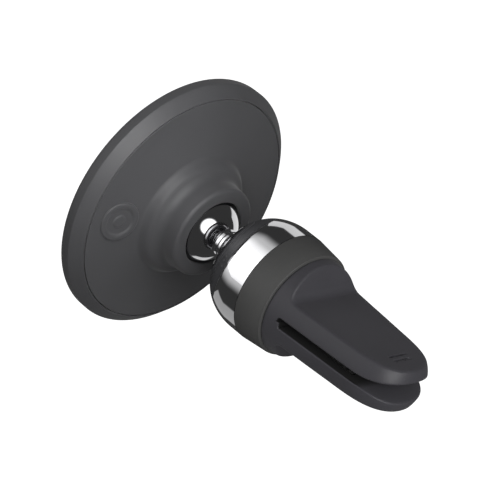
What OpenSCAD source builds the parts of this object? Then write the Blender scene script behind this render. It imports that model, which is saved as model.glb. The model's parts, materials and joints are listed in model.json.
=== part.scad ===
// Car phone mount: a magnetic disc head on a ball joint, with a vent clip.
// Frame: the origin is the closed end of the slot between the jaws, on the clip axis.
// +Y runs along the clip axis to the jaw tips, +Z is the outer face of the upper jaw,
// and the phone face of the disc looks along -Y.  Millimetres throughout.

/* [Disc head] */
// Radius of the disc at its rim
disc_r = 31; // [30:0.5:33]
// Distance from the rim plane forward to the phone pad's face
face_depth = 2.9; // [2.7:0.1:3.5]
// Height of the straight edge band behind the rim plane
edge_band = 0.35; // [0.2:0.05:0.6]
// Radius where the front shell meets the back cover
split_r = 28.3; // [27.8:0.1:28.6]
// Height of that split line behind the rim plane
split_h = 2.7; // [2.5:0.1:3.0]
// Height that the back cover gains from its edge to the collar's foot
dish_rise = 2.1; // [1.6:0.1:2.4]
// Thickness of the phone pad
pad_t = 0.8; // [0.6:0.1:0.9]

/* [Collar and badge] */
// Radius of the rounded shoulder at the collar's foot
shoulder_r = 13.9; // [13.5:0.1:14.5]
// Radius of the collar's waist
waist_r = 11.35; // [11.3:0.05:11.8]
// Height of the collar's end face behind the rim plane
collar_h = 13.05; // [12.8:0.05:13.4]
// Radius of the hole that the ball shows through
opening_r = 7.9; // [7.8:0.05:8]
// Distance of the badge from the disc's centre
badge_x = 20.6; // [19:0.1:21.5]
// Radius of the badge
badge_r = 4.8; // [4:0.1:5]

/* [Magnets] */
// Number of arc magnets in the ring
magnet_count = 18; // [12:2:24]
// Inner radius of the magnet ring
magnet_ri = 23; // [22.5:0.1:23.5]
// Outer radius of the magnet ring
magnet_ro = 27.4; // [27:0.1:27.6]
// Thickness of the magnets
magnet_t = 1.6; // [1.4:0.1:1.7]

/* [Ball joint] */
// Radius of the ball
ball_r = 8.5; // [8.4:0.05:8.6]
// Height of the ball's centre behind the rim plane
ball_h = 8.6; // [8.5:0.05:8.7]
// Distance from the ball's centre to the flat on its front
ball_flat = 7; // [6.5:0.1:7.5]
// Radius of the neck
neck_r = 3; // [2.8:0.05:3.1]
// Radius of the neck's collar
neck_collar_r = 3.45; // [3.2:0.05:3.6]

/* [Dome] */
// Distance from the ball's centre to the dome's flat nose
ball_to_nose = 13.7; // [13.5:0.1:14.5]
// Length of the dome from its nose to the trim band
dome_len = 13.6; // [13:0.1:14]
// Radius of the flat on the dome's nose
nose_r = 6.1; // [5.8:0.1:6.5]
// Largest radius of the dome
dome_r = 13.4; // [13.2:0.05:13.6]
// Wall of the dome
dome_wall = 1.2; // [1:0.1:1.3]
// Radius of the chrome ring on the nose
nose_ring_r = 5.3; // [5:0.1:5.6]
// Thickness of that ring's flange
nose_ring_t = 1.7; // [1.5:0.1:1.9]

/* [Trim band] */
// Length of the matt band
band_len = 7.1; // [6.8:0.1:7.4]
// Radius of the band at the clip end
band_rear_r = 12.65; // [12.5:0.05:12.9]
// Distance from the band's rear edge to the slot's closed end
band_to_slot = 4.2; // [4.1:0.1:4.4]

/* [Clip and jaws] */
// Length of the jaws from the slot's closed end
jaw_len = 30; // [28:0.5:32]
// Radius of the clip at the slot's closed end
clip_r = 11.6; // [11.5:0.05:11.8]
// Radius that the clip loses per millimetre towards the tips
clip_taper = 0.086; // [0.07:0.002:0.1]
// Length of the rounded ends of the jaws
jaw_end_len = 12.6; // [11:0.2:14]
// Squareness of the rounded ends
jaw_end_power = 2.9; // [2:0.1:3.2]
// Height of the outer flat of each jaw above the clip axis
jaw_top = 5.2; // [5:0.05:5.4]
// Half of the slot's gap
slot_half = 1.07; // [1:0.01:1.2]
// Extra half gap at the tips, where the lips open out
lip_flare = 1.4; // [1:0.1:1.6]
// Length of the flared lips
lip_len = 9.2; // [8:0.1:10]
// Lean of the scoop's end wall from upright
scoop_lean = 16.2; // [12:0.2:18]
// Radius of the fold between that wall and the jaw's flat
fold_r = 2.2; // [1.5:0.1:2.5]
// Thickness of the silicone over the clip
skin_t = 0.9; // [0.7:0.05:1]

/* [Jaw hinges] */
// Distance of the hinge pins in front of the slot's closed end
pivot_back = 3; // [2.9:0.1:3.2]
// Height of the hinge pins above and below the clip axis
pivot_z = 3.9; // [3.8:0.05:4]
// Radius of the hinge pins
pin_r = 0.8; // [0.7:0.05:0.9]
// Radial running clearance of the jaws on their pins
pin_fit = 0.06; // [0.03:0.01:0.09]

/* [Hidden] */
$fn = 96;
// Assembly gap between fixed neighbours
gap = 0.05;
// Running gap between the spherical faces of the ball joint
ball_fit = 0.1;

// Places along the clip axis
band_rear_y = -band_to_slot;
band_front_y = band_rear_y - band_len;
nose_y = band_front_y - dome_len;
ball_y = nose_y - ball_to_nose;
rim_y = ball_y - ball_h;
pivot_y = -pivot_back;
tip_start_y = jaw_len - jaw_end_len;
lip_start_y = jaw_len - lip_len;

// Layers of the disc, as heights from the rim plane
plate_t = 0.8;
yoke_t = 0.5;
tray_floor_t = 0.4;
pad_back_h = pad_t - face_depth;
plate_back_h = pad_back_h + plate_t;
tray_front_h = plate_back_h + gap;
magnet_front_h = tray_front_h + gap;
magnet_back_h = magnet_front_h + magnet_t;
yoke_back_h = magnet_back_h + gap + yoke_t;
tray_back_h = yoke_back_h + gap + tray_floor_t;
cover_foot_h = tray_back_h + gap;
shell_wall_t = 1.8;
shell_wall_r = disc_r - shell_wall_t;
pocket_slack = 0.2;
magnet_space_deg = 1.6;

// Collar and socket
collar_bore_r = 10.3;
socket_r = 12.0;
socket_top_h = 4.4;
foot_run = 1.4;
dish_end_r = shoulder_r + foot_run;
dish_power = 1.8;
seat_t = 0.6;
seat_inner_r = ball_r + ball_fit;
seat_outer_r = seat_inner_r + seat_t;
ring_inner_r = seat_outer_r + ball_fit;

// Cover screws
screw_pcr = 18.2;
screw_angles = [45, 135, 225, 315];
screw_shank_r = 0.8;
screw_head_r = 1.6;
screw_head_h = 0.85;
screw_sink = 0.2;
screw_post_r = 1.9;

// Clip
dome_rise = 9.9;
dome_hole_r = 4.3;
spigot_len = 1.3;
spigot_slack = 0.1;
core_screw_z = 9.3;
core_screw_r = 0.82;
core_head_r = 1.5;
core_head_front_y = -6.35;
mark_w = 0.5;
mark_half_len = 2.6;
mark_depth = 0.25;
mark_y = 23.1;
mark_pitch = 1.3;
grip_x = 14.2;
grip_y = 16;
grip_start_y = 3;
grip_t = 0.45;
grip_slack = 0.1;
rib_r = 0.35;
rib_count = 9;
rib_pitch = 1.8;
rib_start = 0.8;
cutter_half_x = 20;
scoop_top_z = clip_r + 3;
fold_tan = fold_r / tan((90 + scoop_lean) / 2);
jaw_core_inset = 1.1;
jaw_rear_gap = 0.1;
root_rear_y = -0.5;
window_x = 7.4;
cheek_x = 6.5;
barrel_r = 1.8;

SOFT_BLACK = "#3f3e42";
COVER_BLACK = "#434345";
BAND_GREY = "#4c4c4b";
CHROME = "#9a9a9c";
STEEL = "#b4b6b8";
PLASTIC = "#2c2c2e";
MAGNET = "#8f9196";

// ---------------------------------------------------------------- shared shapes

// Turns a child that stands along Z so that it lies along +Y
module along_y() {
  rotate([-90, 0, 0]) children();
}

// A solid of revolution about the clip axis from [radius, y] points
module spun(points) {
  along_y() rotate_extrude() polygon(points);
}

// A round bar along the clip axis
module bar(r, y0, y1) {
  translate([0, y0, 0]) along_y() cylinder(r = r, h = y1 - y0);
}

// A tube along the clip axis
module tube(r_in, r_out, y0, y1) {
  spun([[r_in, y0], [r_out, y0], [r_out, y1], [r_in, y1]]);
}

// Puts disc parts, drawn in heights from the rim plane, in their place
module on_disc() {
  translate([0, rim_y, 0]) children();
}

// A plate with a [y, z] outline that is wide along X
module side_cut(points, half_w) {
  rotate([90, 0, 90]) translate([0, 0, -half_w]) linear_extrude(2 * half_w) polygon(points);
}

// ---------------------------------------------------------------- outlines

// Height of the back cover's outer face at radius r, for its dished part
function dish_h(r) = split_h + dish_rise * pow((split_r - r) / (split_r - dish_end_r), dish_power);

// Slope of that face, in degrees
function dish_slope(r) =
  atan(dish_power * dish_rise / (split_r - dish_end_r)
       * pow((split_r - r) / (split_r - dish_end_r), dish_power - 1));

// Quarter round from angle a0 to a1 about a centre
function round_pts(cx, cy, r, a0, a1, n) =
  [for (i = [0 : n]) let (a = a0 + (a1 - a0) * i / n) [cx + r * cos(a), cy + r * sin(a)]];

// Points of a cubic curve between two ends with two handles
function curve_pts(p0, p1, p2, p3, n) =
  [for (i = [0 : n]) let (t = i / n, u = 1 - t)
    u * u * u * p0 + 3 * u * u * t * p1 + 3 * u * t * t * p2 + t * t * t * p3];

// Radius of the clip body at y, before its rounded end
function clip_body_r(y) = clip_r - clip_taper * y;

// Outline of the clip body from a starting y to the tips, grown outwards by g
function clip_outline(y0, g) = concat(
  [[0, y0], [clip_body_r(y0) + g, y0]],
  [for (i = [0 : 24])
    let (a = 90 * i / 24,
         u = pow(sin(a), 2 / jaw_end_power),
         y = tip_start_y + u * (jaw_end_len + g))
    [max(0, clip_body_r(y) * pow(max(cos(a), 0), 2 / jaw_end_power) + g * cos(a)), y]]);

// Half gap of the slot at y
function slot_gap(y) =
  slot_half + (y > lip_start_y ? lip_flare * pow((y - lip_start_y) / lip_len, 2) : 0);

// Scoop above a jaw, as [y, z] points, grown towards the body by g
function scoop_outline(g) = let (
    foot_y = -0.1,
    cy = foot_y + fold_tan,
    cz = jaw_top + fold_r,
    r = fold_r + g,
    lean_y = foot_y - (scoop_top_z - jaw_top) * tan(scoop_lean) - g / cos(scoop_lean))
  concat(
    [[jaw_len + 5, scoop_top_z], [lean_y, scoop_top_z]],
    round_pts(cy, cz, r, 180 + scoop_lean, 270, 8),
    [[jaw_len + 5, jaw_top - g]]);

// Both scoops
module scoops(g = 0) {
  side_cut(scoop_outline(g), cutter_half_x);
  mirror([0, 0, 1]) side_cut(scoop_outline(g), cutter_half_x);
}

// ---------------------------------------------------------------- disc head

// Soft round pad that the phone sits against
module phone_pad() {
  pad_r = split_r - 0.1;
  edge = 0.4;
  groove_r = 20.2;
  groove_w = 0.4;
  groove_d = 0.15;
  color(SOFT_BLACK) on_disc() difference() {
    spun([[0, -face_depth], [pad_r - edge, -face_depth], [pad_r, -face_depth + edge],
          [pad_r, pad_back_h], [0, pad_back_h]]);
    tube(groove_r, groove_r + groove_w, -face_depth - 1, -face_depth + groove_d);
  }
}

// Front shell with the rim: edge band, bevel and the seat for the pad
module front_shell() {
  pad_seat_r = split_r - 0.05;
  rim_round = 1;
  rim_sink = 0.3;
  bevel_x = 0.4;
  bevel_y = 0.45;
  split_edge = 0.15;
  color(COVER_BLACK) on_disc() spun(concat(
    [[0, pad_back_h + gap], [pad_seat_r, pad_back_h + gap], [pad_seat_r, rim_sink - face_depth]],
    round_pts(disc_r - rim_round, rim_sink + rim_round - face_depth, rim_round, -90, 0, 6),
    [[disc_r, edge_band], [disc_r - bevel_x, edge_band + bevel_y], [split_r + split_edge, split_h],
     [split_r, split_h - split_edge], [split_r, cover_foot_h], [shell_wall_r, cover_foot_h],
     [shell_wall_r, plate_back_h], [0, plate_back_h]]));
}

// Plastic tray that holds the magnets, with its screw holes
module magnet_carrier() {
  shank_hole_r = screw_shank_r + 0.1;
  head_hole_r = screw_head_r + 0.15;
  head_hole_h = 1.1;
  pocket_r = 2.2;
  pocket_h = 1.2;
  color(PLASTIC) on_disc() difference() {
    tube(socket_r + gap, shell_wall_r - gap, tray_front_h, tray_back_h);
    tube(magnet_ri - pocket_slack, magnet_ro + pocket_slack, tray_front_h - 1, yoke_back_h + gap);
    for (a = screw_angles)
      rotate([0, a, 0]) translate([screw_pcr, 0, 0]) {
        bar(shank_hole_r, tray_front_h - 1, tray_back_h + 1);
        bar(head_hole_r, tray_front_h - 1, tray_front_h + head_hole_h);
      }
    for (a = [0, 90, 180, 270])
      rotate([0, a, 0]) translate([screw_pcr, 0, 0]) bar(pocket_r, tray_back_h - pocket_h, tray_back_h + 1);
  }
}

// Ring of separate arc magnets
module magnet_ring() {
  step = 360 / magnet_count;
  color(MAGNET) on_disc() for (i = [0 : magnet_count - 1])
    rotate([0, i * step, 0]) along_y() translate([0, 0, magnet_front_h])
      rotate_extrude(angle = step - magnet_space_deg) translate([magnet_ri, 0])
        square([magnet_ro - magnet_ri, magnet_t]);
}

// Thin steel ring behind the magnets
module steel_yoke() {
  color(STEEL) on_disc() tube(magnet_ri, magnet_ro, magnet_back_h + gap, yoke_back_h);
}

// Countersunk screws from the tray into the back cover
module cover_screws() {
  head_h = tray_front_h + screw_sink;
  end_h = tray_back_h + 1.1;
  cross_l = 2;
  cross_w = 0.3;
  cross_d = 0.4;
  color(STEEL) on_disc() for (a = screw_angles)
    rotate([0, a, 0]) translate([screw_pcr, 0, 0]) difference() {
      union() {
        bar(screw_head_r, head_h, head_h + screw_head_h);
        bar(screw_shank_r, head_h + screw_head_h - gap, end_h);
      }
      for (k = [0, 90])
        rotate([0, k, 0]) translate([-cross_l / 2, tray_front_h, -cross_w / 2])
          cube([cross_l, screw_sink + cross_d, cross_w]);
    }
}

// Dished back cover with the collar that carries the ball
module back_cover() {
  edge = 0.15;
  edge_r = split_r - edge;
  wall_t = 1.2;
  inner_r = split_r - wall_t;
  lip_r = waist_r - 0.15;
  lip_round = 0.9;
  mouth_round = 0.35;
  lip_depth = 0.95;
  bore_depth = 1.65;
  seat_wall_h = 3.9;
  step_h = 3.7;
  roof_r = 22.5;
  roof_h = 2.4;
  roof_edge_h = 2.1;
  post_top_h = dish_h(screw_pcr) - 0.9;
  pilot_r = screw_shank_r + 0.02;
  badge_sink = 0.45;
  color(COVER_BLACK) on_disc() difference() {
    union() {
      spun(concat(
        [[edge_r, cover_foot_h], [edge_r, split_h - edge], [edge_r - edge, split_h]],
        [for (i = [1 : 12]) let (r = split_r + (dish_end_r - split_r) * i / 12) [r, dish_h(r)]],
        curve_pts([dish_end_r - 0.1, dish_h(dish_end_r) + 0.06],
                  [shoulder_r + 0.5, split_h + dish_rise + 0.5],
                  [shoulder_r + 0.35, 6.6], [shoulder_r - 0.7, 7.05], 8),
        curve_pts([shoulder_r - 0.75, 7.1], [waist_r + 0.5, 7.7], [waist_r, 8.6], [waist_r, 9.8], 8),
        round_pts(lip_r - lip_round, collar_h - lip_round, lip_round, 0, 90, 6),
        round_pts(opening_r + mouth_round, collar_h - mouth_round, mouth_round, 90, 180, 4),
        [[opening_r, collar_h - lip_depth], [collar_bore_r, collar_h - bore_depth],
         [collar_bore_r, socket_top_h + gap], [socket_r + gap, socket_top_h + gap],
         [socket_r + gap, seat_wall_h], [dish_end_r + 1, step_h], [roof_r, roof_h],
         [inner_r, roof_edge_h], [inner_r, cover_foot_h]]));
      for (a = screw_angles)
        rotate([0, a, 0]) translate([screw_pcr, 0, 0]) bar(screw_post_r, cover_foot_h, post_top_h);
    }
    translate([0, ball_h, 0]) sphere(r = ball_r + 0.25);
    for (a = screw_angles)
      rotate([0, a, 0]) translate([screw_pcr, 0, 0]) bar(pilot_r, 0, tray_back_h + 1.2);
    badge_place() bar(badge_r + gap, -badge_sink, 3);
  }
}

// Puts a child on the sloping back cover, where the badge sits
module badge_place() {
  translate([badge_x, dish_h(badge_x), 0]) rotate([0, 0, -dish_slope(badge_x)]) children();
}

// Round badge let into the back cover, with a rounded edge and a plain dimple
module badge_plug() {
  edge = 0.4;
  top_h = 0.5;
  dimple_r = 4;
  dimple_h = 4.1;
  color(SOFT_BLACK) on_disc() badge_place() difference() {
    spun(concat([[0, -edge], [badge_r, -edge]], round_pts(badge_r - edge, top_h - edge, edge, 0, 90, 5),
                [[0, top_h]]));
    translate([0, dimple_h, 0]) sphere(r = dimple_r);
  }
}

// Plastic sleeve that guides the pressure ring inside the collar
module socket_base() {
  floor_h = tray_front_h;
  floor_t = 0.3;
  hole_r = 5.9;
  color(PLASTIC) on_disc() spun([[hole_r, floor_h], [socket_r, floor_h], [socket_r, socket_top_h],
    [collar_bore_r, socket_top_h], [collar_bore_r, floor_h + floor_t], [hole_r, floor_h + floor_t]]);
}

// Wave spring that presses the ring and seat onto the ball
module wave_spring() {
  steps = 60;
  low_h = -0.85;
  high_h = 1.15;
  leaf = 0.3;
  r_in = 6.8;
  r_out = 9.9;
  waves = 3;
  function mid_h(a) = (low_h + high_h) / 2 + (high_h - low_h - leaf) / 2 * sin(waves * a);
  pts = [for (i = [0 : steps - 1]) let (a = 360 * i / steps, h = mid_h(a))
    for (c = [[r_in, -1], [r_out, -1], [r_out, 1], [r_in, 1]])
      [c[0] * cos(a), h + c[1] * leaf / 2, c[0] * sin(a)]];
  faces = [for (i = [0 : steps - 1]) let (j = (i + 1) % steps) for (k = [0 : 3]) let (m = (k + 1) % 4)
    [4 * i + k, 4 * i + m, 4 * j + m, 4 * j + k]];
  color(STEEL) on_disc() polyhedron(points = pts, faces = faces, convexity = 6);
}

// ---------------------------------------------------------------- ball joint

// Split plastic seat that the ball tilts in
module ball_seat() {
  front = -7.9;
  back = -1.3;
  color(PLASTIC) translate([0, ball_y, 0]) intersection() {
    difference() {
      sphere(r = seat_outer_r);
      sphere(r = seat_inner_r);
    }
    bar(2 * ball_r, front, back);
  }
}

// Ring behind the seat that swings sideways with the disc
module pressure_ring() {
  front = -7.3;
  back = -2.4;
  color(STEEL) translate([0, ball_y, 0]) difference() {
    bar(collar_bore_r - ball_fit, front, back);
    sphere(r = ring_inner_r);
  }
}

// Ball, neck and threaded shank in one piece
module ball_stud() {
  collar_y = 9.2;
  collar_len = 1.1;
  edge = 0.2;
  shank_end = 26.6;
  root_y = 7.5;
  root_end_y = 8.4;
  root_r = neck_r + 0.45;
  key_r = 2.3;
  key_depth = 3;
  color(CHROME) translate([0, ball_y, 0]) difference() {
    union() {
      intersection() {
        sphere(r = ball_r);
        bar(2 * ball_r, -ball_flat, 2 * ball_r);
      }
      spun([[0, 0], [root_r, root_y], [neck_r, root_end_y], [neck_r, collar_y],
            [neck_collar_r - edge, collar_y], [neck_collar_r, collar_y + edge],
            [neck_collar_r, collar_y + collar_len - edge], [neck_collar_r - edge, collar_y + collar_len],
            [neck_r, collar_y + collar_len], [neck_r, shank_end - 3 * edge], [neck_r - 3 * edge, shank_end],
            [0, shank_end]]);
    }
    translate([0, -ball_flat - 1, 0]) along_y() cylinder(r = key_r, h = key_depth + 1, $fn = 6);
  }
}

// ---------------------------------------------------------------- dome

// Chrome ring between the neck and the dome's nose
module nose_ring() {
  edge = 0.25;
  sleeve_r = dome_hole_r - 0.1;
  sleeve_len = 2.4;
  color(CHROME) translate([0, nose_y - gap, 0]) spun([
    [neck_r + gap, -nose_ring_t], [nose_ring_r - edge, -nose_ring_t], [nose_ring_r, edge - nose_ring_t],
    [nose_ring_r, 0], [sleeve_r, 0], [sleeve_r, sleeve_len], [neck_r + gap, sleeve_len]]);
}

// Outline of the dome at an inset from its outer face, as [radius, y]
function dome_outline(inset) =
  [for (i = [0 : 16]) let (a = 90 * i / 16)
    [nose_r - inset * 0.5 + (dome_r - nose_r - inset * 0.5) * sin(a),
     nose_y + inset + (dome_rise - inset) * (1 - cos(a))]];

// Mirror-finished dome shell
module dome_shell() {
  end_y = band_front_y - gap;
  color(CHROME) spun(concat(
    [[dome_hole_r, nose_y]], dome_outline(0), [[dome_r, end_y], [dome_r - dome_wall, end_y]],
    [for (i = [16 : -1 : 0]) dome_outline(dome_wall)[i]], [[dome_hole_r, nose_y + dome_wall]]));
}

// Plastic plug inside the dome that takes the stud's nut and the screws
module dome_core() {
  front_y = nose_y + 5.4;
  back_y = band_front_y + 0.2;
  r = dome_r - dome_wall - 0.6;
  front_r = 9.8;
  crown_y = nose_y + 9;
  nut_space_r = 5.9;
  nut_space_len = 5.1;
  pilot_depth = 4;
  color(PLASTIC) difference() {
    spun([[0, front_y], [front_r, front_y], [r - 0.1, crown_y], [r, band_front_y - 1.5],
          [r, back_y], [0, back_y]]);
    bar(neck_r + gap, front_y - 1, back_y + 1);
    translate([0, back_y - nut_space_len, 0]) along_y() cylinder(r = nut_space_r, h = 6, $fn = 6);
    core_screw_places() bar(core_screw_r + 0.03, back_y - pilot_depth, back_y + 1);
  }
}

// Hex nut on the stud's shank
module stud_nut() {
  nut_r = 5.75;
  nut_t = 3;
  front_y = band_front_y - 3.9;
  color(STEEL) difference() {
    translate([0, front_y, 0]) along_y() cylinder(r = nut_r, h = nut_t, $fn = 6);
    bar(neck_r + 0.02, front_y - 1, front_y + nut_t + 1);
  }
}

// Washer between the nut and the plug
module spring_washer() {
  washer_r = 5;
  washer_t = 0.8;
  front_y = band_front_y - 4.75;
  color(STEEL) tube(neck_r + 0.1, washer_r, front_y, front_y + washer_t);
}

// ---------------------------------------------------------------- trim band

// Matt ring between the dome and the clip
module trim_band() {
  bore_r = 11.75;
  spigot_r = dome_r - dome_wall - spigot_slack;
  spigot_y = band_front_y - spigot_len;
  front_edge = 0.1;
  rear_edge = 0.25;
  color(BAND_GREY) spun([
    [bore_r, spigot_y], [spigot_r, spigot_y], [spigot_r, band_front_y],
    [dome_r - front_edge, band_front_y], [dome_r, band_front_y + front_edge],
    [band_rear_r + 0.02, band_rear_y - rear_edge], [band_rear_r - rear_edge, band_rear_y],
    [bore_r, band_rear_y]]);
}

// ---------------------------------------------------------------- clip body

// Places of the two screws that join the clip's core to the dome's plug
module core_screw_places() {
  for (s = [-1, 1]) translate([0, 0, core_screw_z * s]) children();
}

// Rigid core of the clip, with cheeks for the hinge pins
module clip_core() {
  front_y = band_front_y + 0.3;
  step_y = band_rear_y - 0.1;
  back_y = -1.5;
  flange_r = 11.65;
  body_r = 10.6;
  flange_t = 2.2;
  hollow_z = 7.4;
  hole_slack = 0.23;
  color(PLASTIC) difference() {
    spun([[0, front_y], [flange_r, front_y], [flange_r, step_y], [body_r, step_y], [body_r, back_y],
          [0, back_y]]);
    scoops(skin_t + 0.1);
    translate([-cheek_x, front_y + flange_t, -hollow_z]) cube([2 * cheek_x, 20, 2 * hollow_z]);
    for (s = [-1, 1]) translate([0, pivot_y, s * pivot_z]) rotate([0, 90, 0])
      cylinder(r = pin_r + 0.02, h = 40, center = true);
    core_screw_places() {
      bar(core_screw_r + hole_slack, front_y - 1, back_y + 1);
      bar(core_head_r + 0.1, core_head_front_y - gap, back_y + 1);
    }
  }
}

// Screws through the core into the dome's plug
module core_screws() {
  head_t = 1.15;
  key_r = 0.8;
  key_depth = 0.6;
  end_y = band_front_y - 3.4;
  color(STEEL) core_screw_places() difference() {
    union() {
      bar(core_head_r, core_head_front_y, core_head_front_y + head_t);
      bar(core_screw_r, end_y, core_head_front_y + gap);
    }
    translate([0, core_head_front_y + head_t - key_depth, 0]) along_y() cylinder(r = key_r, h = 2, $fn = 6);
  }
}

// Silicone over the clip's root, behind the jaws
module root_sleeve() {
  start_y = band_rear_y + 0.05;
  wall_y = root_rear_y - skin_t;
  inner_r = 10.65;
  edge = 0.3;
  window_z = 5.3;
  color(SOFT_BLACK) difference() {
    spun([[0, start_y], [clip_body_r(start_y) - edge, start_y], [clip_body_r(start_y), start_y + edge],
          [clip_body_r(root_rear_y), root_rear_y], [0, root_rear_y]]);
    scoops();
    difference() {
      bar(inner_r, start_y - 1, wall_y);
      scoops(skin_t);
    }
    translate([-window_x, wall_y - 1, -window_z]) cube([2 * window_x, 4, 2 * window_z]);
  }
}

// The two pins that the jaws turn on
module hinge_pins() {
  pin_len = 18;
  color(STEEL) for (s = [-1, 1]) translate([0, pivot_y, s * pivot_z]) rotate([0, 90, 0])
    cylinder(r = pin_r, h = pin_len, center = true);
}

// Coil spring that pushes the two levers apart and so closes the jaws
module clamp_spring() {
  coil_r = 1.7;
  wire_r = 0.28;
  half_h = 1.95 - wire_r;
  spring_y = -6.5;
  turns = 5;
  per_turn = 18;
  sides = 8;
  n = turns * per_turn;
  pts = [for (i = [0 : n]) let (a = 360 * i / per_turn, z = -half_h + 2 * half_h * i / n)
    for (k = [0 : sides - 1]) let (b = 360 * k / sides, r = coil_r + wire_r * cos(b))
      [r * cos(a), r * sin(a), z + wire_r * sin(b)]];
  walls = [for (i = [0 : n - 1]) for (k = [0 : sides - 1]) let (m = (k + 1) % sides)
    [sides * i + k, sides * i + m, sides * (i + 1) + m, sides * (i + 1) + k]];
  ends = [[for (k = [sides - 1 : -1 : 0]) k], [for (k = [0 : sides - 1]) sides * n + k]];
  color(STEEL) translate([0, spring_y, 0])
    polyhedron(points = pts, faces = concat(walls, ends), convexity = 12);
}

// ---------------------------------------------------------------- jaws

// Body of one jaw's core, inset from the silicone and grown by g for its pocket
module jaw_core_shape(g = 0) {
  face_skin = 0.85;
  lip_lift = 0.9;
  y0 = 0.6 - g;
  y1 = jaw_len - 2.4 + g;
  z0 = slot_half + face_skin - g;
  z1 = jaw_top - jaw_core_inset + g;
  intersection() {
    spun(clip_outline(y0, g - jaw_core_inset));
    side_cut([[y0, z0], [lip_start_y, z0], [y1, z0 + lip_lift], [y1, z1], [y0, z1]], cutter_half_x);
  }
}

// Rigid upper jaw: plate, neck, hinge barrel and the lever behind it
module jaw_core() {
  barrel_len = 12.4;
  neck_z = 2.4;
  neck_t = 1.6;
  neck_len = 4;
  lever_w = 7;
  lever_t = 1.3;
  lever_z = 2.5;
  lever_y = -8.2;
  difference() {
    union() {
      jaw_core_shape();
      translate([-barrel_len / 2, pivot_y, neck_z]) cube([barrel_len, neck_len, neck_t]);
      translate([0, pivot_y, pivot_z]) rotate([0, 90, 0])
        cylinder(r = barrel_r, h = barrel_len, center = true);
      translate([-lever_w / 2, lever_y, lever_z]) cube([lever_w, pivot_y - lever_y, lever_t]);
    }
    translate([0, pivot_y, pivot_z]) rotate([0, 90, 0]) cylinder(r = pin_r + pin_fit, h = 40, center = true);
  }
}

// Silicone over the upper jaw
module jaw_sleeve() {
  slab_y = jaw_len + 2;
  slab_z = jaw_top + 5;
  neck_hole = [12.6, 2, 1.8];
  neck_hole_z = 2.3;
  grip_sink = 0.5;
  difference() {
    intersection() {
      spun(clip_outline(jaw_rear_gap, 0));
      side_cut(concat(
        [for (i = [0 : 10]) let (y = lip_start_y + lip_len * i / 10) [y, slot_gap(y)]],
        [[slab_y, 2 * slot_half + lip_flare], [slab_y, slab_z], [jaw_rear_gap, slab_z],
         [jaw_rear_gap, slot_half]]), cutter_half_x);
    }
    scoops();
    jaw_core_shape(gap);
    translate([-neck_hole[0] / 2, jaw_rear_gap - 1, neck_hole_z]) cube(neck_hole);
    translate([-grip_x / 2 - grip_slack, grip_start_y - grip_slack, 0])
      cube([grip_x + 2 * grip_slack, grip_y + 2 * grip_slack, slot_half + grip_sink]);
    for (s = [0, 1]) translate([-mark_half_len, mark_y + mark_pitch * s, jaw_top - mark_depth])
      cube([2 * mark_half_len, mark_w, 1]);
  }
}

// Ribbed rubber insert inside the slot
module jaw_grip() {
  plate_z = slot_half + 0.02;
  translate([-grip_x / 2, grip_start_y, plate_z]) cube([grip_x, grip_y, grip_t]);
  intersection() {
    for (i = [0 : rib_count - 1]) translate([0, grip_start_y + rib_start + rib_pitch * i, plate_z])
      rotate([0, 90, 0]) cylinder(r = rib_r, h = grip_x, center = true);
    translate([-grip_x, 0, 0]) cube([2 * grip_x, jaw_len, plate_z + 0.2]);
  }
}

module upper_jaw() {
  color(PLASTIC) jaw_core();
}

module upper_sleeve() {
  color(SOFT_BLACK) jaw_sleeve();
}

module upper_grip() {
  color(PLASTIC) jaw_grip();
}

module lower_jaw() {
  color(PLASTIC) mirror([0, 0, 1]) jaw_core();
}

module lower_sleeve() {
  color(SOFT_BLACK) mirror([0, 0, 1]) jaw_sleeve();
}

module lower_grip() {
  color(PLASTIC) mirror([0, 0, 1]) jaw_grip();
}

// ---------------------------------------------------------------- assembly

phone_pad();
front_shell();
magnet_carrier();
magnet_ring();
steel_yoke();
cover_screws();
back_cover();
badge_plug();
socket_base();
wave_spring();
ball_seat();
pressure_ring();
ball_stud();
nose_ring();
dome_shell();
dome_core();
stud_nut();
spring_washer();
trim_band();
clip_core();
core_screws();
root_sleeve();
hinge_pins();
clamp_spring();
upper_jaw();
upper_sleeve();
upper_grip();
lower_jaw();
lower_sleeve();
lower_grip();
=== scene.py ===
"""Looks of a car phone mount: disc head, ball joint, chrome dome and a silicone vent clip.

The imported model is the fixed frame.  Each sub-assembly is a class with its sizes in millimetres,
and every mesh is made in the row frame, in metres, with its object at the origin.
"""

import json
import logging
import math
from dataclasses import dataclass, field
from enum import Enum
from typing import Any, Callable, Iterable, Sequence

import bmesh
import bpy
import numpy as np
from mathutils import Matrix, Vector


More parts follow.
